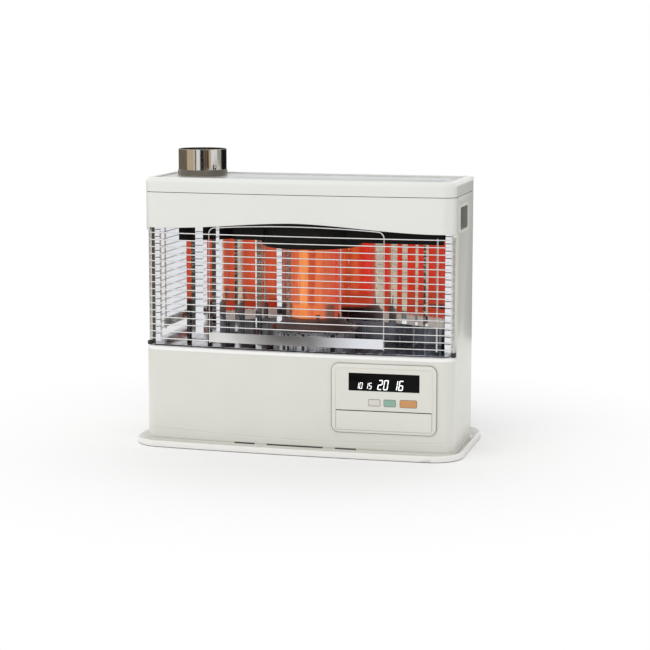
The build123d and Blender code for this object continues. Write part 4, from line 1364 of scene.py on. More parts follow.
    def top_frame(self) -> None:
        """Top frame: wall, well-rounded edge, flat rim and inner wall."""
        low = self.seam + self.seam_gap
        cover = CASE.block("top_frame", low, self.top, 60, 12)
        cover.faces(lambda p, n: p.z < low + 0.1 and abs(n.z) > ALONG).delete("ONLY_FACE")
        cover.edges(lambda p, n: p.z > self.top - 0.1).bevel(self.rim_r, 8)
        cover.faces(lambda p, n: p.z > self.top - 0.1 and n.z > 0.99).inset(self.rim_width - self.rim_r)
        cover.inset(1.0, -1.0)
        cover.extrude(0, 0, self.plate_z - self.top - 1.0)
        cover.delete("FACE")
        cover.weld()
        cover.thicken(self.sheet)
        cover.smooth(SHEET_ANGLE).dress(
            "top_frame", ENAMEL_PAINTED_LIGHT, "white_enamel", Body.HEATER, ["top_cover"],
        )

    def top_sheet(self) -> None:
        """Recessed top plate with pressed ribs, slots and holes."""
        plan = CASE.inward(self.rim_width + 0.6)
        plate = plan.block("top_sheet", self.plate_z, self.plate_z + self.sheet, 40, 8)
        reach = (580, 600)
        starts = [-141 + self.slot_pitch * i for i in range(self.rear_slots)]
        tools = [Bench.crate("slot_tool", (x, x + 50), (75.5, 80.5), reach) for x in starts]
        tools.append(Bench.crate("finger_tool", (309, 327), (36, 45), reach))
        bore = [(0, reach[0]), (FLUE_BORE, reach[0]), (FLUE_BORE, reach[1]), (0, reach[1])]
        tools.append(Bench.lathe("flue_tool", bore, FLUE_AT, 64))
        plate.carve(*tools)
        ribs = []
        crown = self.plate_z + self.sheet + 1.0
        for y in self.ribs:
            rib = Bench.crate("rib", (-160, 310), (y - 4.5, y + 4.5), (self.plate_z + 0.6, crown))
            rib.edges(lambda p, n: abs(n.z) > ALONG).bevel(4.2, 6)
            rib.edges(lambda p, n: p.z > crown - 0.1).bevel(0.9, 3)
            ribs.append(rib)
        plate.join(*ribs)
        # Painted shade: a black block under the finger hole, for the dark inside it.
        well = Bench.crate("finger_hole_shade", (308, 328), (35, 46), (self.plate_z - 1.4, self.plate_z - 0.2))
        well.soften(0.3)
        well.dress("finger_hole_shade", BLACK_PLASTIC_AND_SHADE, "black_plastic", Body.HEATER)
        plate.smooth(SHEET_ANGLE).dress("top_sheet", SILVER, "silver_plate", Body.HEATER, ["top_plate"])


@dataclass
class Flue:
    """Stainless stub for the flue pipe with its collar."""

    outer: float = 54.5
    inner: float = FLUE_BORE
    rolled: float = 0.5
    base: float = 591.8
    rim: float = 651.0

    def build(self) -> None:
        """Models the stub with a rounded flange, a base band and a smooth rim."""
        band = self.outer + 1.6
        low, high = self.base, self.base + 12.8
        shoulder = self.rim - self.rolled
        profile = [
            (self.inner, low), (self.outer, low), (self.outer, shoulder), (self.outer - 0.45, self.rim),
            (self.inner, shoulder),
        ]
        stub = Bench.lathe("flue_stub_shell", profile, FLUE_AT, ROUND)
        stub.smooth(ROUND_ANGLE).dress("flue_stub_shell", STAINLESS, "stainless", Body.HEATER, ["flue_stub"])
        inner = self.outer + 0.1
        profile = [
            (inner, low), (57.4, low), (57.2, low + 0.9), (band + 0.4, low + 1.4), (band, low + 2.4),
            (band, high - 1.4), (band - 0.5, high - 0.6), (inner, high),
        ]
        collar = Bench.lathe("flue_collar", profile, FLUE_AT, ROUND)
        collar.smooth(ROUND_ANGLE).dress("flue_collar", COLLAR_STEEL, "stainless", Body.HEATER)


@dataclass
class Guard:
    """Swinging wire guard: wires, rods, stay and chrome band."""

    half: float = 344.5
    front: float = -114.5
    corner_r: float = 17.0
    bow: float = 13.0
    end_y: float = -94.0
    wire_r: float = 1.3
    rod_r: float = 2.0
    wires: int = 16
    low: float = 236.4
    pitch: float = 15.74
    lip: float = 218.5
    arch_end: float = 484.0
    stay_half: float = 197.0
    stay_top: float = 487.0
    stay_r: float = 1.55
    stay_bend: float = 14.0
    stay_crown: Plan = (3.6, 6.5)
    corner_x: float = 312.0
    corner_steps: int = 8
    front_steps: int = 34
    crown_steps: int = 16
    band_z: float = 8.25
    band_h: float = 21.5
    band_t: float = 0.8
    bushing_x: float = 350.3
    bushing_h: float = 9.5
    bushing_half: float = 6.5

    def depth(self, x: float) -> float:
        """Depth of the wires' centre line across the front."""
        return self.front - self.bow * (1 - (x / self.half) ** 2)

    def track(self) -> list[Plan]:
        """Plan of one wire from the left end rod to the right one.

        Returns:
            The points of its centre line.
        """
        points: list[Plan] = [(-self.half, self.end_y)]
        for i in range(self.corner_steps + 1):
            angle = math.radians(90 * i / self.corner_steps)
            x = -self.half + self.corner_r * (1 - math.cos(angle))
            y = self.front + self.corner_r * (1 - math.sin(angle))
            points.append((x, y - self.bow * (1 - (x / self.half) ** 2)))
        corner = list(points)
        reach = self.half - self.corner_r
        for i in range(1, self.front_steps):
            x = -reach + 2 * reach * i / self.front_steps
            points.append((x, self.depth(x)))
        return points + [(-x, y) for x, y in reversed(corner)]

    def build(self) -> None:
        """Models the wires once and copies them, then the frame and the band."""
        wire = Bench.rod("wire", [(x, y, self.low) for x, y in self.track()], self.wire_r, 2)
        copies = [wire.twin((0, 0, self.pitch * i)) for i in range(1, self.wires)]
        wire.join(*copies)
        wire.smooth(WIRE_ANGLE).dress("guard_wires_bright", CHROME, "chrome", Body.GUARD, ["guard_wires"])
        self.frame()
        self.band()
        self.bushings()

    def bushings(self) -> None:
        """Black bushings at the foot of both end rods, white ones at the top, and a dark bar of painted shade
        at the hinge side.
        """
        inner = self.half - 3.4
        depth = (self.end_y - self.bushing_half, self.end_y + self.bushing_half)
        kinds = (
            ("low", self.lip - 0.5, NYLON, "black_nylon"),
            ("top", self.arch_end - 8, MOULDED, "white_plastic"),
        )
        for word, side in (("left", -1), ("right", 1)):
            span = tuple(sorted((side * self.bushing_x, side * inner)))
            for level, low, finish, slot in kinds:
                block = Bench.crate("bushing", span, depth, (low, low + self.bushing_h))
                block.edges(lambda p, n: abs(p.x) > inner + 0.5).bevel(2.6, 4)
                block.soften(0.5, 2, 50)
                stands_for = ["guard_bushings"] if (word, level) == ("left", "low") else []
                block.smooth(ROUND_ANGLE).dress(
                    f"bushing_{level}_{word}", finish, slot, Body.HEATER, stands_for,
                )
        # Painted shade: a dark bar behind the guard's left end rod, against the casing.
        shade_bar = Bench.crate("hinge_shade_bar", (-343.6, -337.2), (-84.4, -83.0), (self.lip + 1, self.arch_end - 1))
        shade_bar.soften(0.5)
        shade_bar.dress("hinge_shade_bar", SHADOW_GAP, "black_plastic", Body.HEATER)

    def frame(self) -> None:
        """End rods, corner rods and the inverted-U stay."""
        top = self.low + self.pitch * (self.wires - 1) + 3
        behind = self.wire_r + self.rod_r - 0.3
        bars = []
        for side in (-1, 1):
            x = side * self.half
            ends = [(x, self.end_y, z) for z in (self.lip + 1, self.arch_end - 1)]
            bars.append(Bench.rod("bar", ends, self.rod_r, 3))
            x = side * self.corner_x
            y = self.depth(x) + behind
            bars.append(Bench.rod("bar", [(x, y, self.low - 5), (x, y, top)], self.rod_r, 3))
        stay = Bench.rod("bar", self.stay(), self.stay_r, 3)
        stay.join(*bars)
        stay.smooth(WIRE_ANGLE).dress("guard_frame_bright", CHROME, "chrome", Body.GUARD, ["guard_frame"])

    def stay(self) -> list[Point]:
        """The inverted-U stay behind the wires.

        Returns:
            The points of its centre line.
        """
        y = self.depth(self.stay_half) + 2 * self.wire_r - 0.1
        bend = self.stay_bend
        points = [(-self.stay_half, y, self.low - 5)]
        for i in range(7):
            angle = math.radians(15 * i)
            x = -self.stay_half + bend * (1 - math.cos(angle))
            points.append((x, y, self.stay_top - bend + bend * math.sin(angle)))
        corner = list(points)
        reach = self.stay_half - bend
        forward, upward = self.stay_crown
        for i in range(1, self.crown_steps):
            x = -reach + 2 * reach * i / self.crown_steps
            crown = 1 - (x / reach) ** 2
            points.append((x, y - forward * crown, self.stay_top + upward * crown))
        return points + [(-x, y, z) for x, y, z in reversed(corner)]

    def band(self) -> None:
        """Bowed chrome band across the foot of the stay."""
        y = self.depth(self.stay_half)
        sheet = Bench.card("guard_band_bright", 0, self.low + self.band_z, 2 * self.stay_half, self.band_h, y)
        sheet.edges(lambda p, n: abs(n.x) > ALONG).subdivide(24)
        sheet.slide(1, lambda p: self.depth(p.x) - y)
        sheet.weld()
        sheet.thicken(self.band_t)
        sheet.place(Matrix.Translation((0, -self.wire_r - 0.85, 0)))
        sheet.smooth(SHEET_ANGLE).dress("guard_band_bright", CHROME, "chrome", Body.GUARD, ["guard_band"])


class Shown(Enum):
    """What a mirror facet shows to someone in front of the heater, in degrees from the front."""

    BURNER = None
    FRONT = -6.0
    SHADE = 24.0
    ROOM_RIGHT = 68.0
    ROOM_LEFT = -38.0
    ROOM_AHEAD = -28.0
    ROOM_NEAR = 54.0
    BROWN = 37.0


@dataclass
class Chamber:
    """Folded mirrors, shields and drum round the burner."""

    floor: float = 220.0
    ceiling: float = 506.0
    burner: Plan = (10.0, 0.0)
    viewer: Plan = (1060.0, -3920.0)
    before: Point = (10, -150, 0)
    mirror_t: float = 0.7
    strip_t: float = 0.5
    drum_at: Plan = (4.0, 4.0)
    drum_back: float = 101.0
    left_start: Plan = (-336.5, -82.0)
    left: tuple = (
        (14, Shown.FRONT), (62, Shown.ROOM_RIGHT), (14, Shown.BURNER), (9, Shown.SHADE), (18, Shown.FRONT),
        (10, Shown.ROOM_RIGHT), (14, Shown.BURNER), (9, Shown.SHADE), (8, Shown.FRONT),
        (16, Shown.ROOM_RIGHT), (24, Shown.BURNER), (7, Shown.SHADE), (17, Shown.ROOM_NEAR),
        (28, Shown.BURNER), (3, Shown.FRONT), (12, Shown.BROWN), (3, Shown.BURNER), (12, Shown.BROWN),
        (3, Shown.BURNER), (18, Shown.BURNER), (12, Shown.FRONT), (8, Shown.SHADE),
    )
    back: tuple = ((-83.6, 95.8), (-60.0, 102.5), (60.0, 102.5), (64.2, 101.7))
    right_start: Plan = (65.0, 101.5)
    right: tuple = (
        (24, Shown.BURNER), (38, Shown.BURNER), (24, Shown.ROOM_AHEAD), (15, Shown.BURNER),
        (20, Shown.ROOM_LEFT), (14, Shown.BURNER), (13, Shown.ROOM_LEFT), (24, Shown.BURNER),
        (7, Shown.ROOM_LEFT), (17, Shown.BURNER), (5, Shown.SHADE), (6, Shown.ROOM_LEFT),
        (28, Shown.BURNER), (3, Shown.ROOM_LEFT), (20, Shown.BURNER),
    )
    right_side: tuple = ((322.0, -76.0), (336.5, -75.4))
    screen_low: float = 448.0
    screen_gap: float = 1.2
    screen_start: float = 0.72
    foot_gap: float = 1.4
    screen_end: float = -110.0
    flare_start: float = -225.0
    flare_z: Plan = (261.0, 305.0)

    def build(self) -> None:
        """Models the wings, the back and the drum."""
        self.upright("mirror_wing_left", self.folded(self.left_start, self.left), "reflector_left")
        self.upright("mirror_back", list(self.back), "reflector_back")
        right = [*self.folded(self.right_start, self.right), *self.right_side]
        self.upright("mirror_wing_right", right, "reflector_right")
        self.screens()
        self.drum()

    def folds(self, start: Plan, facets: tuple) -> list[tuple]:
        """Each facet of a wing with its two fold lines."""
        points = self.folded(start, facets)
        return list(zip(facets, points, points[1:]))

    def screens(self) -> None:
        """Black heat screens over the left wing's top, strips with painted reflections at both wings' foot
        and a dark strip of painted reflection streaks.
        """
        left = self.folds(self.left_start, self.left)
        right = self.folds(self.right_start, self.right)
        end = self.screen_end
        high = [fold for fold in left[1:] if fold[0][1] is not Shown.FRONT and fold[2][0] < end]
        over = (self.screen_low, self.ceiling - 0.5)
        self.strips("wing_screens_left", high, over, HEAT_BLACK, "black_heatproof", {0: self.screen_start})
        # Painted reflection: strips in front of the facets that show the burner, cream below and red above.
        lit = [fold for fold in left if fold[0][1] is Shown.BURNER and self.flare_start < fold[1][0] < end]
        self.strips("wing_flare_left", lit, self.flare_z, PAINTED_FIRE_REFLECTION, "stainless")
        lit = [fold for fold in right if fold[0][1] is Shown.BURNER and fold[1][0] > -end]
        self.strips("wing_flare_right", lit, self.flare_z, PAINTED_FIRE_REFLECTION, "stainless")
        # Painted reflection: dark strips with light streaks along the right wing's foot.
        dim = {i: fold[0][0] for i, fold in enumerate(right) if fold[0][1] is not Shown.BURNER}
        ends = {i: 1 - self.foot_gap / width for i, width in dim.items()}
        under = (self.floor + 2, self.flare_z[0])
        self.strips("wing_foot_right", right, under, FOOT_REFLECTION_STREAKS, "black_heatproof", ends=ends)

    def strips(
        self, name: str, folds: list, span: Plan, finish: Finish, slot: str, starts: dict | None = None,
        ends: dict | None = None,
    ) -> None:
        """Upright strips just in front of a wing's facets.

        Args:
            name: the piece's name.
            folds: each facet with its two fold lines.
            span: the strips' lower and upper edge.
            finish: how they look.
            slot: the material slot.
            starts: where a strip begins along its facet, as a share, when not at its first fold.
            ends: where a strip ends along its facet, as a share, when not at its second fold.
        """
        made = []
        for index, (_, first, second) in enumerate(folds):
            start, end = Vector(first), Vector(second)
            first_share, last_share = (starts or {}).get(index, 0.0), (ends or {}).get(index, 1.0)
            start, end = start.lerp(end, first_share), start.lerp(end, last_share)
            along = (end - start).normalized()
            off = Vector((along.y, -along.x)) * self.screen_gap
            start, end = start + off, end + off
            strip = Bench.line("strip", [(start.x, start.y, span[0]), (end.x, end.y, span[0])])
            strip.all().extrude(0, 0, span[1] - span[0])
            strip.thicken(self.strip_t)
            made.append(strip)
        made[0].join(*made[1:])
        made[0].smooth(SHEET_ANGLE).dress(name, finish, slot, Body.HEATER)

    @staticmethod
    def azimuth(x: float, y: float, target: Plan) -> float:
        """Direction to a target in plan, in degrees from the front towards +X."""
        return math.degrees(math.atan2(target[0] - x, y - target[1]))

    def folded(self, start: Plan, facets: tuple) -> list[Plan]:
        """Plan of a folded mirror.

        Args:
            start: where the sheet begins.
            facets: each facet's width and what it shows.

        Returns:
            The fold lines' places.
        """
        points = [start]
        for width, shows in facets:
            x, y = points[-1]
            aim = self.azimuth(x, y, self.burner) if shows is Shown.BURNER else shows.value
            turn = math.radians((self.azimuth(x, y, self.viewer) + aim) / 2)
            points.append((x + width * math.cos(turn), y + width * math.sin(turn)))
        return points

    def upright(self, name: str, plan: list[Plan], stands_for: str) -> None:
        """An upright folded mirror sheet.

        Args:
            name: the piece's name.
            plan: its plan.
            stands_for: the node it replaces.
        """
        low, high = self.floor + 1.6, self.ceiling - 0.3
        sheet = Bench.line(name, [(x, y, low) for x, y in plan])
        sheet.all().extrude(0, 0, high - low)
        sheet.all()
        bpy.ops.mesh.normals_make_consistent(inside=False)
        middle = max(bmesh.from_edit_mesh(sheet.obj.data).faces, key=lambda f: f.calc_area())
        towards = Vector(self.before) * MM - middle.calc_center_median()
        if middle.normal.dot(towards) < 0:
            bpy.ops.mesh.flip_normals()
        sheet.thicken(self.mirror_t)
        sheet.smooth(FOLD_ANGLE).dress(name, MIRROR, "mirror", Body.HEATER, [stands_for])

    def drum(self) -> None:
        """Black drum above the burner with a rounded lower edge and a flat back."""
        top = self.ceiling - 0.4
        profile = [
            (0, top), (112, top), (112, 447), (110.5, 443.8), (107, 442), (70, 442), (66, 446), (66, 470),
            (0, 470),
        ]
        drum = Bench.lathe("heat_drum", profile, self.drum_at, ROUND)
        drum.slice((0, self.drum_back, 0), (0, 1, 0), fill=True)
        drum.smooth(ROUND_ANGLE).dress(
            "heat_drum", HEAT_BLACK, "black_heatproof", Body.HEATER, ["exchanger_drum"],
        )


@dataclass
class Burner:
    """Glowing cylinder, glass, ring and bright pan."""

    at: Plan = (10.0, 0.0)
    glass_r: float = 62.0
    glow_r: float = 53.0
    foot: float = 280.4
    glass_top: float = 438.0
    flutes: int = 20
    flute_depth: float = 0.02
    straight: float = 152.0
    dome_z: float = 430.0
    dome: tuple = ((3.0, 0.9), (2.5, 0.3))

    def build(self) -> None:
        """Models the burner's visible pieces."""
        self.glow()
        wall = [
            (self.glass_r - 2.4, self.foot + 0.2),
            (self.glass_r - 0.2, self.foot),
            (self.glass_r, self.foot + 0.6),
            (self.glass_r, self.glass_top - 0.6),
            (self.glass_r - 0.6, self.glass_top),
            (self.glass_r - 2.4, self.glass_top - 0.4),
        ]
        glass = Bench.lathe("glass_tube", wall, self.at, ROUND)
        glass.smooth(ROUND_ANGLE).dress("glass_tube", GLASS, "glass", Body.HEATER, ["glass_cylinder"])
        seat = self.foot - 0.1
        ring = [
            (48, 222), (85, 222), (86, 223), (86, 256), (84.5, 259), (68, seat - 3), (66.5, seat - 1),
            (66, seat), (48, seat),
        ]
        Bench.lathe("burner_cast_ring", ring, self.at, ROUND).smooth(ROUND_ANGLE).dress(
            "burner_cast_ring", CAST, "cast_black", Body.HEATER, ["burner_ring"]
        )
        z = 221.3
        pan = [
            (90, z), (91.5, z), (91.5, 249.5), (92.3, 251.5), (97.3, 257), (98, 258), (96.6, 258),
            (91.6, 253), (90, 250),
        ]
        Bench.lathe("bright_pan", pan, self.at, ROUND).smooth(ROUND_ANGLE).dress(
            "bright_pan", PAN_STEEL, "stainless", Body.HEATER, ["pot_shield"]
        )

    def glow(self) -> None:
        """Fluted inner cylinder with a domed end."""
        x, y = self.at
        sides = self.flutes * 4
        tube = Bench(
            "glow_tube", bpy.ops.mesh.primitive_circle_add, (x, y, self.foot), (1, 1, 1),
            vertices=sides, radius=self.glow_r, fill_type="NOTHING",
        )
        tube.slide(0, lambda p: (p.x - x) * self.ripple(p))
        tube.all().extrude(0, 0, self.straight)
        tube.pick(Pick.VERTS, lambda p, n: p.z > self.dome_z)
        for rise, share in self.dome:
            tube.extrude(0, 0, rise).resize(share, share, 1, (x, y, self.dome_z))
        bpy.ops.mesh.edge_face_add()
        tube.weld()
        tube.smooth(ROUND_ANGLE).dress("glow_tube", GLOW, "glow", Body.HEATER, ["glow_cylinder", "glow_cap"])

    def ripple(self, place: Vector) -> float:
        """Share by which a flute draws a point in."""
        angle = math.atan2(place.y - self.at[1], place.x - self.at[0])
        return -self.flute_depth * (1 - math.cos(self.flutes * angle))


@dataclass(frozen=True)
class Key:
    """One front key: its centre across, its size, its finish and its body."""

    name: str
    x: float
    width: float
    height: float
    finish: Finish
    body: Body


KEYS = (
    Key("button_white", -20.5, 24.7, 13.4, KEY_WHITE, Body.KEY_WHITE),
    Key("button_green", 13.4, 24.8, 14.0, KEY_GREEN, Body.KEY_GREEN),
    Key("button_orange", 54.1, 35.8, 15.4, KEY_ORANGE, Body.KEY_ORANGE),
)


@dataclass
class ControlUnit:
    """Bezel, display, keys and flip-down door."""

    width: float = 230.0
    height: float = 152.0
    radius: float = 16.0
    proud: float = 2.0
    window: tuple = (0.4, 36.3, 155.0, 38.5)
    key_z: float = -8.3
    door_w: float = 211.0
    door_h: float = 44.0
    door_t: float = 2.4
    door_z: float = -48.3
    bay: float = 18.0
    fit: float = 0.3
    groove_z: float = -2.5
    groove_h: float = 136.2
    finger_gap: float = 2.0
    wall: float = 1.8
    wells: Point = (-60, 0, 60)
    well: Plan = (26.6, 12.6)
    through: Plan = (-5, 30)
    key_proud: float = 1.1
    key_r: float = 2.0
    collar: float = 3.0
    glass_y: float = 0.5
    figure_w: float = 0.46
    figure_t: float = 0.095
    figure_lean: float = 0.16
    figure_pitch: float = 0.57
    figure_gap: float = 0.32
    rows: tuple = (((1, 0, 1, 5), -62.3, 21.1, 14.0), ((2, 0), -14.6, 20.2, 22.0), ((1, 6), 18.6, 20.2, 22.0))

    @staticmethod
    def place_matrix() -> Matrix:
        """Carries the unit's own frame to the front panel."""
        return Matrix.Translation((199.5, -126.4, 125.4)) @ Matrix.Rotation(math.radians(2.42), 4, "Z")

    def tablet(
        self, name: str, x: float, z: float, width: float, height: float, radius: float, y0: float,
        y1: float, soft: float = 0.5,
    ) -> Bench:
        """A rounded flat block that faces the front.

        Args:
            name: the piece's name.
            x: its centre across.
            z: its centre's height.
            width: its width.
            height: its height.
            radius: its corner radius.
            y0: depth of its front face.
            y1: depth of its back face.
            soft: how far its front edge is rounded.

        Returns:
            The bench in edit mode.
        """
        made = Bench.crate(name, (x - width / 2, x + width / 2), (y0, y1), (z - height / 2, z + height / 2))
        if radius:
            made.edges(lambda p, n: abs(n.y) > ALONG).bevel(radius, 6)
        if soft:
            made.edges(lambda p, n: p.y < y0 + 0.01 and abs(n.y) < 0.1).bevel(soft, 3)
        return made

    def build(self) -> None:
        """Models the bezel, the window with its figures, the keys and the door."""
        place = self.place_matrix()
        self.bezel(place)
        lens = self.tablet("lens", *self.window, 0.8, self.glass_y - self.proud, 0.6, 0.2)
        lens.place(place)
        lens.smooth(SHEET_ANGLE).dress("display_window", LENS, "black_lens", Body.HEATER, ["display_lens"])
        self.figures(place)
        self.lines(place)
        for key in KEYS:
            self.key(key, place)
        self.door(place)

    def bezel(self, place: Matrix) -> None:
        """The bezel with its openings and groove, and the bay behind the door.

        Args:
            place: carries the unit's own frame to the front panel.
        """
        gap = 2 * self.fit
        door = (self.door_w + gap, self.door_h + gap)
        face = self.tablet("bezel_face", 0, 0, self.width, self.height, self.radius, -self.proud, -0.5, 1.2)
        box = self.tablet("bezel_box", 0, 0, self.width - 16, self.height - 10, 0, -1.2, 12, 0)
        face.join(box)
        x, z, width, height = self.window
        tools = [self.tablet("t", 0, 0, self.width - 19, self.height - 13, 0, 0.6, 30, 0)]
        tools.append(self.tablet("t", x, z, width + gap, height + gap, 1.0, *self.through, 0))
        for key in KEYS:
            tools.append(
                self.tablet("t", key.x, self.key_z, key.width + gap, key.height + gap, 2.3, -5, 2, 0)
            )
        tools.append(self.tablet("t", 0, self.door_z, *door, 0, *self.through, 0))
        tools.append(self.hoop(0, self.groove_z, door[0], self.groove_h, 8, 1.1, -5, 0.8 - self.proud))
        face.carve(*tools)
        walls = 2 * self.wall
        bay = self.tablet("bay", 0, self.door_z, door[0] + walls, door[1] + walls, 0, -0.4, self.bay, 0)
        bay.faces(lambda p, n: n.y < -ALONG).inset(self.wall)
        bay.extrude(0, self.bay - self.wall, 0)
        bay.weld()
        bay.carve(*[self.tablet("t", at, self.door_z, *self.well, 1.5, 10, 30, 0) for at in self.wells])
        face.join(bay)
        face.place(place)
        face.smooth(SHEET_ANGLE).dress(
            "bezel_shell", MOULDED, "white_plastic", Body.HEATER, ["control_bezel"],
        )

    def hoop(
        self, x: float, z: float, width: float, height: float, radius: float, band: float, y0: float,
        y1: float,
    ) -> Bench:
        """A rounded frame that faces the front.

        Args:
            x: its centre across.
            z: its centre's height.
            width: its inner width.
            height: its inner height.
            radius: its inner corner radius.
            band: how wide the frame is all round.
            y0: depth of its front face.
            y1: depth of its back face.

        Returns:
            The bench in object mode.
        """
        outer = self.tablet("hoop", x, z, width + 2 * band, height + 2 * band, radius + band, y0, y1, 0)
        return outer.carve(self.tablet("t", x, z, width, height, radius, y0 - 1, y1 + 1, 0))

    def lines(self, place: Matrix) -> None:
        """A dark frame behind the door, and grey frames round the bezel and the keys: painted shade in their
        gaps.

        Args:
            place: carries the unit's own frame to the front panel.
        """
        # Painted shade: a dark frame behind the door's edges, seen through the gap round it.
        gap_shade = self.hoop(0, self.door_z, self.door_w - 8, self.door_h - 8, 2, 4, 1.1, 1.9)
        gap_shade.place(place)
        gap_shade.smooth(SHEET_ANGLE).dress("door_gap_shade", SHADOW_GAP, "black_plastic", Body.HEATER)
        # Painted shade: thin grey frames in the gaps round the bezel and the keys.
        back = 0.3 - self.proud
        hoops = [self.hoop(0, 0, self.width - 1, self.height - 1, self.radius - 0.5, 1.3, back, 0.4)]
        for key in KEYS:
            size = (key.width + 0.5, key.height + 0.5)
            hoops.append(self.hoop(key.x, self.key_z, *size, 2.2, 0.9, -self.proud - 0.12, back))
        hoops[0].join(*hoops[1:])
        hoops[0].place(place)
        hoops[0].smooth(SHEET_ANGLE).dress("parting_line_shade", PAINTED_SEAM_SHADE, "black_plastic", Body.HEATER)

    def key(self, key: Key, place: Matrix) -> None:
        """One front key with a rounded cap and a thin raised frame.

        Args:
            key: the key.
            place: carries the unit's own frame to the front panel.
        """
        front = -self.proud - self.key_proud
        cap = self.tablet(key.name, key.x, self.key_z, key.width, key.height, self.key_r, front, 2.0, 0.7)
        size = (key.width + self.collar, key.height + self.collar)
        cap.join(self.tablet("collar", key.x, self.key_z, *size, 0, 0.9, 2.4, 0))
        cap.place(place)
        slot = key.finish.name.removesuffix("_gloss")
        cap.smooth(CAP_ANGLE).dress(f"{key.name}_cap", key.finish, slot, key.body, [key.name])

    def segment(self, digit: int, x: float, z: float, height: float) -> list[Bench]:
        """One figure made of slanted bars.

        Args:
            digit: the figure from 0 to 9.
            x: its left edge.
            z: its foot.
            height: its height.

        Returns:
            Its bars.
        """
        lit = {0: "abcdef", 1: "bc", 2: "abged", 5: "afgcd", 6: "afgedc"}[digit]
        w, h, t = height * self.figure_w, height, height * self.figure_t
        spans = {
            "a": (t * 0.7, h - t, w - t * 0.7, h), "g": (t * 0.7, h / 2 - t / 2, w - t * 0.7, h / 2 + t / 2),
            "d": (t * 0.7, 0, w - t * 0.7, t), "f": (0, h / 2 + t * 0.3, t, h - t * 0.5),
            "b": (w - t, h / 2 + t * 0.3, w, h - t * 0.5), "e": (0, t * 0.5, t, h / 2 - t * 0.3),
            "c": (w - t, t * 0.5, w, h / 2 - t * 0.3),
        }
        bars = []
        y = self.glass_y - self.proud
        for key in lit:
            x0, z0, x1, z1 = spans[key]
            bar = Bench.crate("bar", (x + x0, x + x1), (y - 0.06, y + 0.1), (z + z0, z + z1))
            bar.slide(0, lambda p: (p.z - z) * self.figure_lean)
            bars.append(bar)
        return bars

    def figures(self, place: Matrix) -> None:
        """Plain clock and temperature figures on the window.

        Args:
            place: carries the unit's own frame to the front panel.
        """
        bars = []
        for digits, x, z, height in self.rows:
            for index, digit in enumerate(digits):
                gap = height * self.figure_gap if len(digits) == 4 and index > 1 else 0.0
                bars += self.segment(digit, x + index * height * self.figure_pitch + gap, z, height)
        first = bars[0]
        first.join(*bars[1:])
        first.place(place)
        first.smooth(SHEET_ANGLE).dress("display_figures", LIT, "key_white", Body.HEATER)

    def door(self, place: Matrix) -> None:
        """Flip-down door with a rounded hinge edge and stub pins.

        Args:
            place: carries the unit's own frame to the front panel.
        """
        y = -self.proud + 0.3 + self.door_t / 2
        z = self.door_z - self.door_h / 2 + self.door_t / 2
        front, half = y - self.door_t / 2, self.door_w / 2 - 0.4
        top = self.door_z + self.door_h / 2 - self.finger_gap
        back = front + self.door_t
        flap = Bench.crate("flap", (-half, half), (front, back), (z - self.door_t / 2 + 0.02, top))
        flap.edges(lambda p, n: abs(n.x) > ALONG and p.z < z).bevel(self.door_t / 2 - 0.04, 6)
        flap.edges(lambda p, n: abs(n.x) > ALONG and p.z > top - 0.1).bevel(0.5, 3)
        pins = Bench.rod("pins", [(-half - 1.7, y, z), (half + 1.7, y, z)], 0.88, 3)
        rib = Bench.crate("rib", (6 - half, half - 6), (back - 0.1, back + 2), (top - 5, top - 3.6))
        flap.join(pins, rib)
        flap.place(place)
        flap.smooth(CAP_ANGLE).dress("door_flap", MOULDED, "white_plastic", Body.DOOR, ["control_door"])


PALE = (0.96, 0.96, 0.95)
COOL = (0.93, 0.95, 1.0)
CREAM = (0.62, 0.5, 0.38)
BROWN = (0.2, 0.11, 0.07)
DARK = (0.012, 0.011, 0.01)
OLIVE = (0.17, 0.15, 0.11)
DOVE = (0.42, 0.43, 0.42)
LENS_SHADE = (0.12, 0.11, 0.105)
WALLS = (
    (-166.0, DARK), (-163.0, OLIVE), (-64.0, OLIVE), (-60.0, CREAM), (-25.0, CREAM), (-22.5, PALE),
    (-21.5, PALE),
    (-18.5, LENS_SHADE), (-14.5, LENS_SHADE), (-10.5, COOL), (5.0, COOL), (8.0, DARK), (24.0, DARK),
    (26.0, DOVE),
    (28.0, DARK), (31.0, DARK), (34.0, BROWN), (40.0, BROWN), (43.0, DARK), (46.0, DARK), (50.0, CREAM),
    (58.0, CREAM),
    (61.0, COOL), (90.0, COOL), (94.0, DOVE), (117.0, DOVE), (121.0, DARK),
)


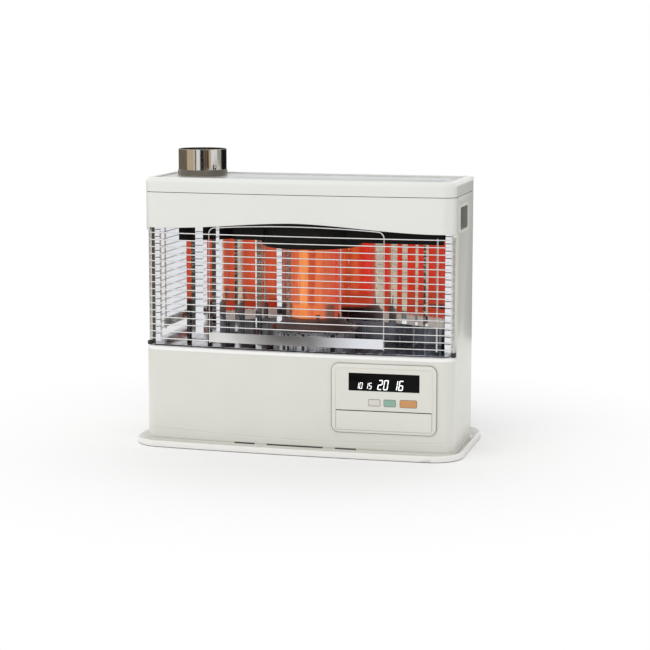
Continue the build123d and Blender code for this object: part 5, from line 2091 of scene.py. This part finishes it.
@dataclass
class Studio:
    """Camera, lamps, pale floor and white surroundings."""

    azimuth: float = 15.1
    distance: float = 4057.6
    height: float = 880.65
    pitch: float = 7.688
    focal: float = 1828.8
    centre: Plan = (309.83, 293.26)
    frame_px: float = 650.0
    floor_reach: float = 1400.0
    daylight: float = 0.98
    wall_top: Plan = (0.0, 0.07)
    shaded_side: float = 0.6
    walls: tuple = WALLS

    def build(self) -> None:
        """Sets up the whole studio."""
        self.camera()
        self.floor()
        self.surroundings()
        self.lamp("key", (-1.6, -3.0, 4.2), 2.6, 17.0)
        bpy.context.scene.view_settings.view_transform = "Standard"

    def camera(self) -> None:
        """The camera at the photograph's viewing angle."""
        az, pitch = math.radians(self.azimuth), math.radians(self.pitch)
        data = bpy.data.cameras.new("photo_camera")
        data.sensor_width = 36.0
        data.lens = self.focal * 36.0 / self.frame_px
        data.shift_x = (self.frame_px / 2 - self.centre[0]) / self.frame_px
        data.shift_y = (self.centre[1] - self.frame_px / 2) / self.frame_px
        data.clip_start, data.clip_end = 0.1, 60.0
        camera = bpy.data.objects.new("photo_camera", data)
        place = Vector((self.distance * math.sin(az), -self.distance * math.cos(az), self.height)) * MM
        camera.matrix_world = Matrix.Translation(place) @ Euler(
            (math.pi / 2 - pitch, 0, az)
        ).to_matrix().to_4x4()
        bpy.context.collection.objects.link(camera)
        bpy.context.scene.camera = camera

    def floor(self) -> None:
        """A plain pale floor that fades into the white backdrop."""
        reach = self.floor_reach
        ground = Bench.sheet("studio_floor", (-reach, reach), (-reach, reach), -0.2)
        ground.all().subdivide(4)
        ground.close()
        ground.obj.data.materials.append(PALE_FLOOR.material())

    def surroundings(self) -> None:
        """White backdrop and light, and a room of pale and dark walls for what the metal mirrors."""
        world = bpy.data.worlds.new("white_room")
        bpy.context.scene.world = world
        world.use_nodes = True
        tree = Tree(world.node_tree)
        path = tree.add("ShaderNodeLightPath")
        heading = tree.add("ShaderNodeSeparateXYZ", {0: tree.add("ShaderNodeTexCoord").outputs["Generated"]})
        turn = tree.turn(heading.outputs["X"], heading.outputs["Y"])
        high = tree.remap(heading.outputs["Z"], *self.wall_top)
        room = tree.blend(high, tree.wheel(turn, self.walls), WHITE)
        seen = tree.math("MAXIMUM", path.outputs["Is Camera Ray"], path.outputs["Is Transmission Ray"])
        strength = tree.remap(seen, 0.0, 1.0, self.daylight, 1.0)
        right = tree.remap(heading.outputs["X"], 0.15, 0.8)
        low = tree.remap(heading.outputs["Z"], 0.6, 0.2)
        unlit = tree.math("SUBTRACT", 1.0, seen)
        shade = tree.math("MULTIPLY", tree.math("MULTIPLY", right, low), unlit)
        wall = rgba((self.shaded_side,) * 3)
        shown = tree.blend(path.outputs["Is Glossy Ray"], tree.blend(shade, WHITE, wall), room)
        backdrop = tree.add("ShaderNodeBackground", {"Color": shown, "Strength": strength})
        tree.add("ShaderNodeOutputWorld", {0: backdrop.outputs[0]})

    def lamp(self, name: str, place: Point, size: float, power: float) -> None:
        """A soft square lamp that looks at the heater.

        Args:
            name: the lamp's name.
            place: where it hangs, in metres.
            size: its side, in metres.
            power: its power in watts.
        """
        data = bpy.data.lights.new(name, "AREA")
        data.size, data.energy = size, power
        light = bpy.data.objects.new(name, data)
        light.location = place
        light.rotation_euler = (Vector((0, 0, 0.35)) - Vector(place)).to_track_quat("-Z", "Y").to_euler()
        bpy.context.collection.objects.link(light)


def dress_nodes() -> None:
    """Gives every construction node that is still shown its procedural finish."""
    slots = {part["node"]: part["material_slot"] for part in frame["record"]["subparts"]}
    for name, node in frame["nodes"].items():
        if node.hide_render:
            continue
        node.data.materials.clear()
        node.data.materials.append(NODE_FINISH.get(name, SLOT_FINISH[slots[name]]).material())


def main() -> None:
    """Builds the heater's pieces and the studio, then finishes the construction nodes still shown."""
    for part in (FloorTray(), Casing(), Flue(), Guard(), Chamber(), Burner(), ControlUnit(), Studio()):
        part.build()
        log.info("built %s", type(part).__name__)
    dress_nodes()


if __name__ == "__main__":
    main()
